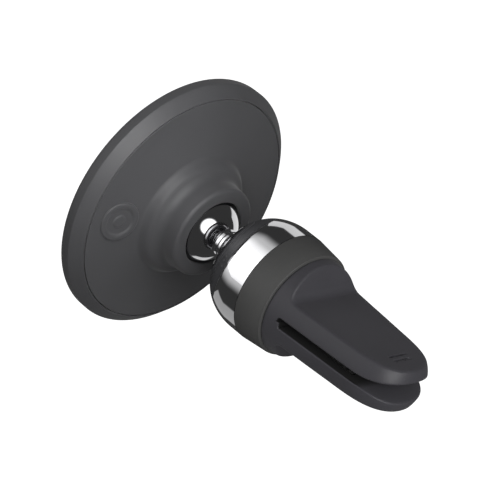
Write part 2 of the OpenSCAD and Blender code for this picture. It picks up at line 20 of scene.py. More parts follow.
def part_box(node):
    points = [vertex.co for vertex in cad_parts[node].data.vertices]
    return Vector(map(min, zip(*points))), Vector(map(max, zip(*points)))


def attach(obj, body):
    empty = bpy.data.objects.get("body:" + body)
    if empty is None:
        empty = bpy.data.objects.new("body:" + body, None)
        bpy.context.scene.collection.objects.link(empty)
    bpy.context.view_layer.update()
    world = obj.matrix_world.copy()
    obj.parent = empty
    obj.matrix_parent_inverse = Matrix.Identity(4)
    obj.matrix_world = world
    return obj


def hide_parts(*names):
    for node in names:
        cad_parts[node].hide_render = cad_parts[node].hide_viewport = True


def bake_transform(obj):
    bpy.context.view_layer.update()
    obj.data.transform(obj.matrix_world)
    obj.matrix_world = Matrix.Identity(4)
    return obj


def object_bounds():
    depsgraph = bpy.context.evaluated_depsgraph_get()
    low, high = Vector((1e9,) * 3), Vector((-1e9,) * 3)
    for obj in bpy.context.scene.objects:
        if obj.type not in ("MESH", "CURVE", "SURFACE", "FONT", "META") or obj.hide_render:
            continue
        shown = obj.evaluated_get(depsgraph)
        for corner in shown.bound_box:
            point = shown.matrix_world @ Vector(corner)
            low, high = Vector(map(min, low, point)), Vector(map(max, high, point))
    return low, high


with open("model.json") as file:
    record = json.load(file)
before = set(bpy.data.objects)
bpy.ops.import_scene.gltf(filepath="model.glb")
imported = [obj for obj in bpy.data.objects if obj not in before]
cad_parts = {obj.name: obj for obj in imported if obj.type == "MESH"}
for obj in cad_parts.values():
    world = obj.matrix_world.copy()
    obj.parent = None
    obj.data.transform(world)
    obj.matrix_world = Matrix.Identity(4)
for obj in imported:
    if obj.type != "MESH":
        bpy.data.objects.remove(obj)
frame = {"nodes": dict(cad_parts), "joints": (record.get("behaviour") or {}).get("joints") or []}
CAD_LOW, CAD_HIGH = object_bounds()

LOG = logging.getLogger("phone_mount")
MM = 0.001
AROUND = 240
SHARP_DEGREES = 38.0


class Body(Enum):
    """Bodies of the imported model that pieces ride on."""

    CLIP = "clip"
    HEAD = "head"
    UPPER_JAW = "upper_jaw"
    LOWER_JAW = "lower_jaw"


class Side(Enum):
    """Which jaw a piece belongs to: the value is the sign of its Z."""

    UPPER = 1
    LOWER = -1

    @property
    def word(self) -> str:
        """The side's name in piece names."""
        return self.name.lower()

    @property
    def body(self) -> Body:
        """The body of this side's jaw."""
        return Body.UPPER_JAW if self is Side.UPPER else Body.LOWER_JAW


# ------------------------------------------------------------------ places read from the frame


@dataclass(frozen=True)
class Places:
    """Stations along the clip axis and a few radii, in millimetres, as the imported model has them."""

    face_y: float
    rim_y: float
    split_y: float
    collar_y: float
    ball_y: float
    nose_y: float
    band_front_y: float
    band_rear_y: float
    tip_y: float
    disc_r: float
    dome_r: float

    @classmethod
    def from_frame(cls) -> "Places":
        """Reads the stations from the boxes of the nodes and from the ball joint.

        Returns:
            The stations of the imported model.
        """
        rim_to_ball = 8.6
        joints = {j["name"]: j for j in frame["joints"]}
        ball_y = joints["head_tilt"]["pos_m"][1] / MM
        dome_low, dome_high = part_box("dome_shell")
        shell_high, band_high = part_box("front_shell")[1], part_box("trim_band")[1]
        return cls(
            face_y=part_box("phone_pad")[0].y / MM,
            rim_y=ball_y - rim_to_ball,
            split_y=shell_high.y / MM,
            collar_y=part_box("back_cover")[1].y / MM,
            ball_y=ball_y,
            nose_y=dome_low.y / MM,
            band_front_y=dome_high.y / MM + 0.05,
            band_rear_y=band_high.y / MM,
            tip_y=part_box("upper_sleeve")[1].y / MM,
            disc_r=shell_high.x / MM,
            dome_r=dome_high.x / MM,
        )


# ------------------------------------------------------------------ shader maths


class Wire:
    """A shader socket that takes part in Python arithmetic."""

    def __init__(self, graph: "Graph", socket: bpy.types.NodeSocket) -> None:
        """Keeps the socket and the graph that new Math nodes go into."""
        self.graph = graph
        self.socket = socket

    def _math(self, operation: str, first: Any, second: Any = 0.0) -> "Wire":
        """Adds one Math node.

        Args:
            operation: Name of the Math node's operation.
            first: Left operand, a wire or a number.
            second: Right operand, a wire or a number.

        Returns:
            The node's output.
        """
        return self.graph.node("ShaderNodeMath", {"operation": operation}, {0: first, 1: second})

    def __add__(self, other: Any) -> "Wire":
        """Sum."""
        return self._math("ADD", self, other)

    __radd__ = __add__

    def __sub__(self, other: Any) -> "Wire":
        """Difference."""
        return self._math("SUBTRACT", self, other)

    def __rsub__(self, other: Any) -> "Wire":
        """Difference, with the wire on the right."""
        return self._math("SUBTRACT", other, self)

    def __mul__(self, other: Any) -> "Wire":
        """Product."""
        return self._math("MULTIPLY", self, other)

    __rmul__ = __mul__

    def size(self) -> "Wire":
        """The wire without its sign."""
        return self._math("ABSOLUTE", self)


class Graph:
    """Builds the nodes of one material."""

    def __init__(self, name: str) -> None:
        """Starts an empty material with an output node."""
        self.material = bpy.data.materials.new(name)
        self.material.use_nodes = True
        self.tree = self.material.node_tree
        self.tree.nodes.clear()
        self.output = self.tree.nodes.new("ShaderNodeOutputMaterial")

    def node(self, kind: str, settings: dict[str, Any], inputs: dict[Any, Any], output: Any = 0) -> Wire:
        """Makes one node.

        Args:
            kind: The node's type.
            settings: Properties, which are set first.
            inputs: Values or wires by input name or number.
            output: Name or number of the wanted output.

        Returns:
            The wanted output as a wire.
        """
        made = self.tree.nodes.new(kind)
        for key, value in settings.items():
            setattr(made, key, value)
        for key, value in inputs.items():
            if isinstance(value, Wire):
                self.tree.links.new(value.socket, made.inputs[key])
            else:
                made.inputs[key].default_value = value
        return Wire(self, made.outputs[output])

    def place(self) -> Wire:
        """Object coordinates, which are the row frame in metres."""
        return self.node("ShaderNodeTexCoord", {}, {}, "Object")

    def coordinate(self, axis: str) -> Wire:
        """One of the object coordinates, "X", "Y" or "Z", in metres."""
        return self.node("ShaderNodeSeparateXYZ", {}, {0: self.place()}, axis)

    def stretched(self, scale: tuple[float, float, float]) -> Wire:
        """Object coordinates scaled along each axis."""
        return self.node("ShaderNodeMapping", {}, {"Vector": self.place(), "Scale": scale})

    def noise(self, scale: float, detail: float = 3.0, where: Wire | None = None) -> Wire:
        """Noise from about 0 to 1.

        Args:
            scale: Waves per metre.
            detail: Number of octaves.
            where: Coordinates, or None for the object's own.

        Returns:
            The noise value.
        """
        vector = where if where is not None else self.place()
        return self.node("ShaderNodeTexNoise", {}, {"Vector": vector, "Scale": scale, "Detail": detail})

    def grains(self, scale: float) -> Wire:
        """Distance to the nearest grain of a cell pattern with that many cells per metre."""
        return self.node("ShaderNodeTexVoronoi", {}, {"Vector": self.place(), "Scale": scale})

    def ramp(self, value: Wire, low: float, high: float, start: float = 0.0, end: float = 1.0) -> Wire:
        """Maps a value's range from low to high onto start to end, clamped.

        Args:
            value: The wire to map.
            low: Value that gives start.
            high: Value that gives end.
            start: Result at low.
            end: Result at high.

        Returns:
            The mapped value.
        """
        limits = {"Value": value, "From Min": low, "From Max": high, "To Min": start, "To Max": end}
        return self.node("ShaderNodeMapRange", {"clamp": True}, limits)

    def tint(self, factor: Wire, first: Wire | Sequence[float], second: Sequence[float]) -> Wire:
        """Mixes two colours.

        Args:
            factor: 0 for the first colour, 1 for the second.
            first: A wire, or red, green and blue.
            second: Red, green and blue.

        Returns:
            The mixed colour.
        """
        start = first if isinstance(first, Wire) else (*first, 1.0)
        colours = {0: factor, 6: start, 7: (*second, 1.0)}
        return self.node("ShaderNodeMix", {"data_type": "RGBA"}, colours, 2)

    def bump(self, height: Wire, depth: float, strength: float) -> Wire:
        """Bump from a height.

        Args:
            height: Height from 0 to 1.
            depth: Real height of 1, in metres.
            strength: Share of the effect.

        Returns:
            The bent normal.
        """
        values = {"Height": height, "Distance": depth, "Strength": strength}
        return self.node("ShaderNodeBump", {}, values, "Normal")

    def finish(self, shader: Wire) -> bpy.types.Material:
        """Links the shader to the output and hands over the material."""
        self.tree.links.new(shader.socket, self.output.inputs["Surface"])
        return self.material


# ------------------------------------------------------------------ finishes


def scaled(colour: Sequence[float], share: float) -> tuple[float, float, float]:
    """A colour with each channel times share."""
    return tuple(min(1.0, c * share) for c in colour)


@dataclass(frozen=True)
class Finish:
    """What every finish has: the record's slot, a colour and a roughness."""

    slot: str
    colour: tuple[float, float, float]
    roughness: float

    def material(self) -> bpy.types.Material:
        """The finish's material, made on first use."""
        name = f"finish_{self.slot}"
        return bpy.data.materials.get(name) or self.build(Graph(name))

    def build(self, graph: Graph) -> bpy.types.Material:
        """Makes the material; each kind of finish has its own way."""
        raise NotImplementedError

    def dress(self, obj: bpy.types.Object) -> None:
        """Puts the material on an object as its only one.

        Args:
            obj: A piece or a carried-over node.
        """
        obj.data.materials.clear()
        obj.data.materials.append(self.material())


@dataclass(frozen=True)
class SoftTouch(Finish):
    """Moulded plastic under a velvety coat: faint clouding, fine grain and a soft edge sheen."""

    grain_per_m: float = 5200.0
    sheen: float = 0.1
    grain_depth: float = 0.000004

    def build(self, graph: Graph) -> bpy.types.Material:
        """Makes the coated plastic.

        Args:
            graph: The empty graph to fill.

        Returns:
            The finished material.
        """
        clouds = graph.noise(55.0, 3.0)
        grain = graph.noise(self.grain_per_m, 2.0)
        specks = graph.ramp(graph.noise(1900.0, 1.0), 0.66, 0.8)
        shade = graph.ramp(clouds * 0.75 + grain * 0.25, 0.3, 0.7)
        base = graph.tint(shade, scaled(self.colour, 0.92), scaled(self.colour, 1.08))
        rough = graph.ramp(clouds, 0.3, 0.7, self.roughness - 0.03, self.roughness + 0.03) - specks * 0.04
        normal = graph.bump(grain + graph.grains(2600.0) * 0.4, self.grain_depth, 0.35)
        values = {
            "Base Color": base, "Roughness": rough, "Normal": normal, "Sheen Weight": self.sheen,
            "Sheen Roughness": 0.45, "Specular IOR Level": 0.25,
        }
        return graph.finish(graph.node("ShaderNodeBsdfPrincipled", {}, values))


@dataclass(frozen=True)
class Silicone(Finish):
    """Matt silicone or rubber: a slightly uneven skin with fine dust-like specks."""

    sheen: float = 0.06
    specular: float = 0.4

    def build(self, graph: Graph) -> bpy.types.Material:
        """Makes the silicone.

        Args:
            graph: The empty graph to fill.

        Returns:
            The finished material.
        """
        clouds = graph.noise(90.0, 4.0)
        skin = graph.noise(3800.0, 3.0)
        dust = graph.ramp(graph.noise(1500.0, 2.0), 0.68, 0.82)
        shade = graph.ramp(clouds, 0.3, 0.7)
        base = graph.tint(shade, scaled(self.colour, 0.93), scaled(self.colour, 1.07))
        dusty = graph.tint(dust * 0.12, base, (0.16, 0.16, 0.17))
        colour = self.paint_slot_shade(graph, dusty)
        rough = graph.ramp(clouds, 0.3, 0.7, self.roughness - 0.04, self.roughness + 0.04) + dust * 0.05
        values = {
            "Base Color": colour, "Roughness": rough, "Normal": graph.bump(skin, 0.000005, 0.3),
            "Sheen Weight": self.sheen, "Sheen Roughness": 0.5, "Specular IOR Level": self.specular,
        }
        return graph.finish(graph.node("ShaderNodeBsdfPrincipled", {}, values))

    def paint_slot_shade(self, graph: Graph, colour: Wire) -> Wire:
        """Colour of the faces in the slot, where painted shade can go; plain silicone has no slot and gets
        none.
        """
        return colour


@dataclass(frozen=True)
class SlottedSilicone(Silicone):
    """The clip's silicone, with painted shade: its faces inside the slot are darkened to near black to stand
    for the shade in the slot.

    The mask follows the clip's form in its object coordinates: near the middle plane, and further
    in than the jaws' outer walls.
    """

    slot_half: float = 1.07 * MM
    body_r: float = 11.6 * MM
    taper: float = 0.086
    # near-black colour painted on the slot's faces as shade
    rubber: tuple[float, float, float] = (0.006, 0.006, 0.006)

    def paint_slot_shade(self, graph: Graph, colour: Wire) -> Wire:
        """Colour of the faces in the slot, darkened as painted shade.

        Args:
            graph: The graph being filled.
            colour: The colour elsewhere.

        Returns:
            The colour with painted shade: the slot's faces mixed to near black.
        """
        height = graph.coordinate("Z").size()
        inset = self.body_r - graph.coordinate("Y") * self.taper - graph.coordinate("X").size()
        flat = graph.ramp(height, self.slot_half + 0.02 * MM, self.slot_half + 0.16 * MM, 1.0, 0.0)
        inside = graph.ramp(inset, 0.2 * MM, 0.4 * MM)
        # painted shade: faces on the slot's flat, further in than the outer walls, are mixed to near black
        return graph.tint(flat * inside, colour, self.rubber)


@dataclass(frozen=True)
class MirrorChrome(Finish):
    """Dark mirror plating: near-clean, with faint smears and a hint of uneven flow."""

    def build(self, graph: Graph) -> bpy.types.Material:
        """Makes the plating.

        Args:
            graph: The empty graph to fill.

        Returns:
            The finished material.
        """
        smears = graph.ramp(graph.noise(120.0, 3.0), 0.35, 0.75)
        flow = graph.noise(160.0, 1.0)
        base = graph.tint(smears, self.colour, scaled(self.colour, 0.93))
        rough = smears * 0.02 + self.roughness
        values = {
            "Base Color": base, "Roughness": rough, "Metallic": 1.0,
            "Normal": graph.bump(flow, 0.00001, 0.06),
        }
        return graph.finish(graph.node("ShaderNodeBsdfPrincipled", {}, values))


@dataclass(frozen=True)
class SatinBand(Finish):
    """Fine blasted ring: even grey with a close grain and a faint lay round the axis."""

    metallic: float = 0.0

    def build(self, graph: Graph) -> bpy.types.Material:
        """Makes the satin ring.

        Args:
            graph: The empty graph to fill.

        Returns:
            The finished material.
        """
        grain = graph.noise(6500.0, 2.0)
        lay = graph.noise(40.0, 2.0, graph.stretched((1.0, 90.0, 1.0)))
        shade = graph.ramp(grain * 0.6 + lay * 0.4, 0.3, 0.7)
        base = graph.tint(shade, scaled(self.colour, 0.93), scaled(self.colour, 1.07))
        rough = graph.ramp(lay, 0.3, 0.7, self.roughness - 0.03, self.roughness + 0.03)
        values = {
            "Base Color": base, "Roughness": rough, "Metallic": self.metallic,
            "Normal": graph.bump(grain, 0.000004, 0.35), "Specular IOR Level": 0.5,
        }
        return graph.finish(graph.node("ShaderNodeBsdfPrincipled", {}, values))


@dataclass(frozen=True)
class Metal(Finish):
    """Plated, rolled or drawn steel: fine scratches and slightly dull patches."""

    lay: tuple[float, float, float] = (1.0, 14.0, 1.0)

    def build(self, graph: Graph) -> bpy.types.Material:
        """Makes the metal.

        Args:
            graph: The empty graph to fill.

        Returns:
            The finished material.
        """
        scratches = graph.noise(700.0, 4.0, graph.stretched(self.lay))
        patches = graph.noise(140.0, 3.0)
        dull = graph.ramp(patches, 0.45, 0.75)
        base = graph.tint(dull, self.colour, scaled(self.colour, 0.82))
        rough = graph.ramp(scratches, 0.3, 0.7, self.roughness - 0.06, self.roughness + 0.06) + dull * 0.08
        values = {
            "Base Color": base, "Roughness": rough, "Metallic": 1.0,
            "Normal": graph.bump(scratches, 0.000006, 0.25),
        }
        return graph.finish(graph.node("ShaderNodeBsdfPrincipled", {}, values))


@dataclass(frozen=True)
class Moulded(Finish):
    """Plain moulded plastic: spark-eroded grain and faint flow marks."""

    def build(self, graph: Graph) -> bpy.types.Material:
        """Makes the plastic.

        Args:
            graph: The empty graph to fill.

        Returns:
            The finished material.
        """
        grain = graph.grains(3000.0)
        flow = graph.noise(70.0, 3.0, graph.stretched((1.0, 2.5, 1.0)))
        base = graph.tint(graph.ramp(flow, 0.3, 0.7), scaled(self.colour, 0.88), scaled(self.colour, 1.12))
        rough = graph.ramp(flow, 0.3, 0.7, self.roughness - 0.05, self.roughness + 0.05)
        values = {"Base Color": base, "Roughness": rough, "Normal": graph.bump(grain, 0.000008, 0.3)}
        return graph.finish(graph.node("ShaderNodeBsdfPrincipled", {}, values))


class Finishes:
    """The finishes of the object, by the part of it that they cover."""

    soft_touch = SoftTouch("soft_touch", (0.041, 0.041, 0.0434), 0.5)
    pad = Silicone("pad_rubber", (0.035, 0.035, 0.037), 0.62)
    inner = Moulded("inner_plastic", (0.03, 0.03, 0.032), 0.55)
    magnet = Metal("magnet_nickel", (0.55, 0.55, 0.56), 0.3, (1.0, 1.0, 1.0))
    zinc = Metal("zinc_steel", (0.5, 0.51, 0.52), 0.38)
    screw = Metal("screw_steel", (0.45, 0.45, 0.46), 0.3)
    spring = Metal("spring_steel", (0.4, 0.4, 0.42), 0.32)
    seat = Moulded("seat_nylon", (0.08, 0.08, 0.08), 0.45)
    chrome = MirrorChrome("black_chrome", (0.52, 0.52, 0.53), 0.045)
    band = SatinBand("matt_band", (0.066, 0.066, 0.065), 0.5)
    silicone = SlottedSilicone("clip_silicone", (0.05, 0.0486, 0.056), 0.45)
    grip = Silicone("grip_rubber", (0.02, 0.02, 0.02), 0.7, sheen=0.05, specular=0.3)

    carried = {
        "magnet_carrier": inner, "steel_yoke": zinc, "socket_base": inner, "ball_seat": seat,
        "pressure_ring": zinc, "dome_core": inner, "stud_nut": zinc, "spring_washer": spring,
        "clip_core": inner, "hinge_pins": screw, "upper_jaw": inner, "lower_jaw": inner,
    }

    @classmethod
    def dress_carried(cls) -> int:
        """Dresses the nodes that are shown as they are packed.

        Returns:
            How many nodes were dressed.
        """
        for node, finish in cls.carried.items():
            finish.dress(frame["nodes"][node])
        return len(cls.carried)


# ------------------------------------------------------------------ mesh making


def finished_piece(
    name: str, verts: np.ndarray, faces: Sequence[Sequence[int]], finish: Finish,
    sharp: float = SHARP_DEGREES,
) -> bpy.types.Object:
    """Makes an object at the origin from points in millimetres, with its faces outwards.

    Args:
        name: The piece's name.
        verts: Points in the row frame, in millimetres.
        faces: Corner numbers of each face.
        finish: The finish it gets.
        sharp: Edges that turn by more degrees than this stay sharp.

    Returns:
        The new object.
    """
    mesh = bpy.data.meshes.new(name)
    mesh.from_pydata((np.asarray(verts, float) * MM).tolist(), [], [list(f) for f in faces])
    mesh.validate()
    turn_outwards(mesh)
    mesh.shade_smooth()
    mesh.set_sharp_from_angle(angle=math.radians(sharp))
    obj = bpy.data.objects.new(name, mesh)
    bpy.context.scene.collection.objects.link(obj)
    finish.dress(obj)
    return obj


def turn_outwards(mesh: bpy.types.Mesh) -> None:
    """Makes a closed mesh's faces agree and point out of its solid.

    Args:
        mesh: The mesh to correct.
    """
    work = bmesh.new()
    work.from_mesh(mesh)
    bmesh.ops.recalc_face_normals(work, faces=work.faces)
    if work.calc_volume(signed=True) < 0:
        bmesh.ops.reverse_faces(work, faces=work.faces)
    work.to_mesh(mesh)
    work.free()


@dataclass
class Outline:
    """A run of (radius, y) points in millimetres that a lathed piece turns about the clip axis."""

    points: list[tuple[float, float]] = field(default_factory=list)

    def to(self, radius: float, y: float) -> "Outline":
        """Adds one point."""
        self.points.append((radius, y))
        return self

    def arc(
        self, radius: float, y: float, size: float, start: float, end: float, steps: int = 8,
    ) -> "Outline":
        """Adds a round.

        Args:
            radius: Radius coordinate of its centre.
            y: Station of its centre.
            size: The round's own radius.
            start: First angle in degrees, 0 along +radius and 90 along +y.
            end: Last angle in degrees.
            steps: Number of segments.

        Returns:
            The outline itself.
        """
        for angle in np.radians(np.linspace(start, end, steps + 1)):
            self.to(radius + size * math.cos(angle), y + size * math.sin(angle))
        return self

    def curve(self, corners: Sequence[tuple[float, float]], steps: int = 20) -> "Outline":
        """Adds a cubic curve.

        Args:
            corners: Start, two handles and end.
            steps: Number of segments.

        Returns:
            The outline itself.
        """
        p = np.array(corners, float)
        for t in np.linspace(0.0, 1.0, steps + 1):
            u = 1.0 - t
            radius, y = u**3 * p[0] + 3 * u * u * t * p[1] + 3 * u * t * t * p[2] + t**3 * p[3]
            self.to(float(radius), float(y))
        return self

    def through(
        self, rule: Callable[[float], tuple[float, float]], start: float, end: float, steps: int,
    ) -> "Outline":
        """Adds points that a rule gives between two values of its variable."""
        for value in np.linspace(start, end, steps + 1):
            self.to(*rule(float(value)))
        return self

    def clean(self) -> list[tuple[float, float]]:
        """The points without repeats."""
        kept: list[tuple[float, float]] = []
        for point in self.points:
            if not kept or math.dist(point, kept[-1]) > 1e-4:
                kept.append(point)
        if math.dist(kept[0], kept[-1]) < 1e-4:
            kept.pop()
        return kept

    def lathe(self, around: int = AROUND) -> tuple[np.ndarray, list[list[int]]]:
        """Turns the closed outline about the clip axis.

        Args:
            around: Number of segments round the axis.

        Returns:
            Points and faces; a point on the axis becomes one closed pole.
        """
        points = self.clean()
        verts: list[tuple[float, float, float]] = []
        rings: list[list[int]] = []
        angles = np.arange(around) * 2.0 * math.pi / around
        for radius, y in points:
            start = len(verts)
            if radius < 1e-5:
                verts.append((0.0, y, 0.0))
                rings.append([start] * around)
            else:
                verts.extend((radius * math.cos(a), y, radius * math.sin(a)) for a in angles)
                rings.append(list(range(start, start + around)))
        faces = []
        for k, ring in enumerate(rings):
            other = rings[(k + 1) % len(rings)]
            if ring[0] == ring[1] and other[0] == other[1]:
                continue
            for i in range(around):
                j = (i + 1) % around
                corners = [ring[i], ring[j], other[j], other[i]]
                faces.append(list(dict.fromkeys(corners)))
        return np.array(verts), faces


# ------------------------------------------------------------------ geometry nodes


class GeoTree:
    """Builds one Geometry Nodes tree and runs it into a plain mesh."""

    def __init__(self, name: str, sizes: dict[str, float]) -> None:
        """Starts a tree with a named float input for each size.

        Args:
            name: The tree's name.
            sizes: Names and values of its inputs.
        """
        self.tree = bpy.data.node_groups.new(name, "GeometryNodeTree")
        self.sizes = sizes
        for key, value in sizes.items():
            made = self.tree.interface.new_socket(key, in_out="INPUT", socket_type="NodeSocketFloat")
            made.default_value = value
        self.tree.interface.new_socket("Geometry", in_out="OUTPUT", socket_type="NodeSocketGeometry")
        self.inputs = self.tree.nodes.new("NodeGroupInput")
        self.output = self.tree.nodes.new("NodeGroupOutput")

    def size(self, name: str) -> bpy.types.NodeSocket:
        """The socket of a named size."""
        return self.inputs.outputs[name]

    def add(self, kind: str, settings: dict[str, Any], inputs: dict[Any, Any]) -> bpy.types.Node:
        """Makes one node.

        Args:
            kind: The node's type.
            settings: Properties, set first.
            inputs: Values or sockets by input name or number.

        Returns:
            The new node.
        """
        made = self.tree.nodes.new(kind)
        for key, value in settings.items():
            setattr(made, key, value)
        for key, value in inputs.items():
            if isinstance(value, bpy.types.NodeSocket):
                self.tree.links.new(value, made.inputs[key])
            else:
                made.inputs[key].default_value = value
        return made

    def math(self, operation: str, first: Any, second: Any = 0.0) -> bpy.types.NodeSocket:
        """One Math node's output."""
        return self.add("ShaderNodeMath", {"operation": operation}, {0: first, 1: second}).outputs[0]

    def vector(self, x: Any = 0.0, y: Any = 0.0, z: Any = 0.0) -> bpy.types.NodeSocket:
        """A vector from three values or sockets."""
        return self.add("ShaderNodeCombineXYZ", {}, {0: x, 1: y, 2: z}).outputs[0]

    def finish(self, geometry: bpy.types.NodeSocket, finish: Finish) -> None:
        """Ends the tree: joined instances, merged seams, smooth faces and the finish's material.

        Args:
            geometry: The geometry to end with.
            finish: The finish to set.
        """
        real = self.add("GeometryNodeRealizeInstances", {}, {"Geometry": geometry})
        merged = self.add("GeometryNodeMergeByDistance", {}, {"Geometry": real.outputs[0], "Distance": 1e-7})
        smooth = self.add("GeometryNodeSetShadeSmooth", {}, {"Geometry": merged.outputs[0]})
        dressed = self.add("GeometryNodeSetMaterial", {}, {"Geometry": smooth.outputs[0]})
        dressed.inputs["Material"].default_value = finish.material()
        self.tree.links.new(dressed.outputs[0], self.output.inputs["Geometry"])

    def run(self, name: str, finish: Finish, place: Matrix = Matrix.Identity(4)) -> bpy.types.Object:
        """Runs the tree on a carrier object and keeps the result as a plain mesh.

        Args:
            name: The piece's name.
            finish: The finish it is dressed in.
            place: Where the result goes, in the row frame.

        Returns:
            The new piece.
        """
        carrier = bpy.data.objects.new(f"{name}_carrier", bpy.data.meshes.new(f"{name}_carrier"))
        bpy.context.scene.collection.objects.link(carrier)
        modifier = carrier.modifiers.new("build", "NODES")
        modifier.node_group = self.tree
        for item in self.tree.interface.items_tree:
            if item.item_type == "SOCKET" and item.in_out == "INPUT" and item.name in self.sizes:
                modifier[item.identifier] = float(self.sizes[item.name])
        evaluated = carrier.evaluated_get(bpy.context.evaluated_depsgraph_get())
        mesh = bpy.data.meshes.new_from_object(evaluated)
        carrier.modifiers.clear()
        bpy.data.objects.remove(carrier)
        mesh.name = name
        mesh.transform(place)
        turn_outwards(mesh)
        mesh.set_sharp_from_angle(angle=math.radians(SHARP_DEGREES))
        obj = bpy.data.objects.new(name, mesh)
        bpy.context.scene.collection.objects.link(obj)
        finish.dress(obj)
        return obj


# ------------------------------------------------------------------ disc head


@dataclass
class DiscHead:
    """Round head: phone pad, front shell with the rim, dished back cover with its collar, badge."""

    places: Places
    split_r: float = 28.3
    split_h: float = 2.7
    dish_rise: float = 2.1
    dish_power: float = 1.8
    shoulder_r: float = 13.9
    waist_r: float = 11.35
    opening_r: float = 7.9
    bore_r: float = 10.3
    pad_t: float = 0.8
    rim_round: float = 1.0
    edge_band: float = 0.35
    badge_x: float = 20.6
    badge_r: float = 4.8
    badge_h: float = 0.5
    foot_h: float = 6.6
    step_h: float = 7.1
    waist_h: tuple[float, float] = (8.6, 9.8)
    lip_round: float = 0.9
    mouth_round: float = 0.35
    socket_h: float = 4.45
    skirt_r: float = 12.05
    hollow_r: float = 22.5

    @property
    def dish_end_r(self) -> float:
        """Radius where the dish runs into the collar's foot."""
        return self.shoulder_r + 1.4

    @property
    def face_h(self) -> float:
        """Height of the phone face from the rim plane, below zero."""
        return self.places.face_y - self.places.rim_y

    @property
    def collar_h(self) -> float:
        """Height of the collar's end from the rim plane."""
        return self.places.collar_y - self.places.rim_y

    def dish(self, radius: float) -> float:
        """Height of the dished face at a radius."""
        share = max(0.0, (self.split_r - radius) / (self.split_r - self.dish_end_r))
        return self.split_h + self.dish_rise * share**self.dish_power

    def dish_slope(self, radius: float) -> float:
        """Slope of the dished face at a radius, in radians."""
        run = self.split_r - self.dish_end_r
        share = max(0.0, (self.split_r - radius) / run)
        return math.atan(self.dish_power * self.dish_rise / run * share ** (self.dish_power - 1.0))

    def _turned(self, name: str, outline: Outline, finish: Finish) -> bpy.types.Object:
        """Lathes an outline drawn in heights from the rim plane.

        Args:
            name: The piece's name.
            outline: Closed outline of (radius, height).
            finish: The finish it gets.

        Returns:
            The new piece, riding on the head.
        """
        verts, faces = outline.lathe()
        verts[:, 1] += self.places.rim_y
        return finished_piece(name, verts, faces, finish)

    def phone_pad(self) -> bpy.types.Object:
        """Soft pad with a fine ring groove and a rounded edge."""
        face, back = self.face_h, self.face_h + self.pad_t
        edge_r, groove_r, groove = self.split_r - 0.1, 20.4, 0.2
        outline = Outline().to(0.0, face).to(groove_r - groove, face)
        outline.arc(groove_r, face, groove, 180.0, 0.0, 8)
        outline.arc(edge_r - 0.4, face + 0.4, 0.4, -90.0, 0.0, 8).to(edge_r, back).to(0.0, back)
        return self._turned("phone_pad_soft", outline, Finishes.pad)

    def front_shell(self) -> bpy.types.Object:
        """Front shell: rounded front edge, straight rim band and the bevel up to the split line."""
        r = self.places.disc_r
        seat_h, plate_h, wall_r = self.face_h + self.pad_t + 0.05, self.face_h + self.pad_t + 0.8, r - 1.8
        foot_h = plate_h + 3.15
        turn = 0.14
        outline = Outline().to(0.0, seat_h).to(self.split_r - 0.05, seat_h)
        outline.to(self.split_r - 0.05, self.face_h + 0.42)
        outline.arc(self.split_r + 0.07, self.face_h + 0.42, 0.12, 180.0, 270.0, 4)
        outline.arc(r - self.rim_round, self.face_h + 0.3 + self.rim_round, self.rim_round, -90.0, 0.0, 14)
        outline.arc(r - turn, self.edge_band - turn, turn, 0.0, 40.0, 3)
        outline.curve(
            [(r - 0.12, self.edge_band + 0.08), (r - 0.5, self.edge_band + 0.5),
             (self.split_r + 1.2, self.split_h - 0.95), (self.split_r + 0.28, self.split_h - 0.08)], 18
        )
        outline.arc(self.split_r + 0.15, self.split_h - 0.15, 0.15, 60.0, 180.0, 6)
        outline.to(self.split_r, foot_h).to(wall_r, foot_h).to(wall_r, plate_h).to(0.0, plate_h)
        return self._turned("front_shell_rim", outline, Finishes.soft_touch)

    def back_cover(self) -> bpy.types.Object:
        """Back cover: dish, rounded foot step, waisted collar, rolled lip and the ball's socket."""
        edge_r, end_r, end_h = self.split_r - 0.22, self.dish_end_r, self.dish(self.dish_end_r)
        foot_h = self.face_h + self.pad_t + 3.95
        lip_r, top, round_h, mouth = self.waist_r - 0.15, self.collar_h, self.lip_round, self.mouth_round
        waist_start, waist_end = self.waist_h
        outline = Outline().to(edge_r, foot_h).arc(edge_r - 0.15, self.split_h - 0.15, 0.15, 0.0, 80.0, 5)
        outline.through(lambda r: (r, self.dish(r)), edge_r - 0.24, end_r, 44)
        outline.curve(
            [(end_r - 0.1, end_h + 0.06), (self.shoulder_r + 0.5, self.split_h + self.dish_rise + 0.5),
             (self.shoulder_r + 0.35, self.foot_h), (self.shoulder_r - 0.7, self.step_h - 0.05)], 22
        )
        outline.curve(
            [
                (self.shoulder_r - 0.75, self.step_h), (self.waist_r + 0.5, self.step_h + 0.6),
                (self.waist_r, waist_start), (self.waist_r, waist_end),
            ],
            22,
        )
        outline.arc(lip_r - round_h, top - round_h, round_h, 0.0, 90.0, 12)
        outline.arc(self.opening_r + mouth, top - mouth, mouth, 90.0, 180.0, 8)
        outline.to(self.opening_r + 0.02, top - 0.95).to(self.bore_r, top - 1.65)
        outline.to(self.bore_r, self.socket_h).to(self.skirt_r, self.socket_h).to(self.skirt_r, 3.9)
        outline.to(end_r + 1.0, 3.7).to(self.hollow_r, 2.4)
        outline.to(self.split_r - 1.2, 2.1).to(self.split_r - 1.2, foot_h)
        return self._turned("back_cover_dish", outline, Finishes.soft_touch)

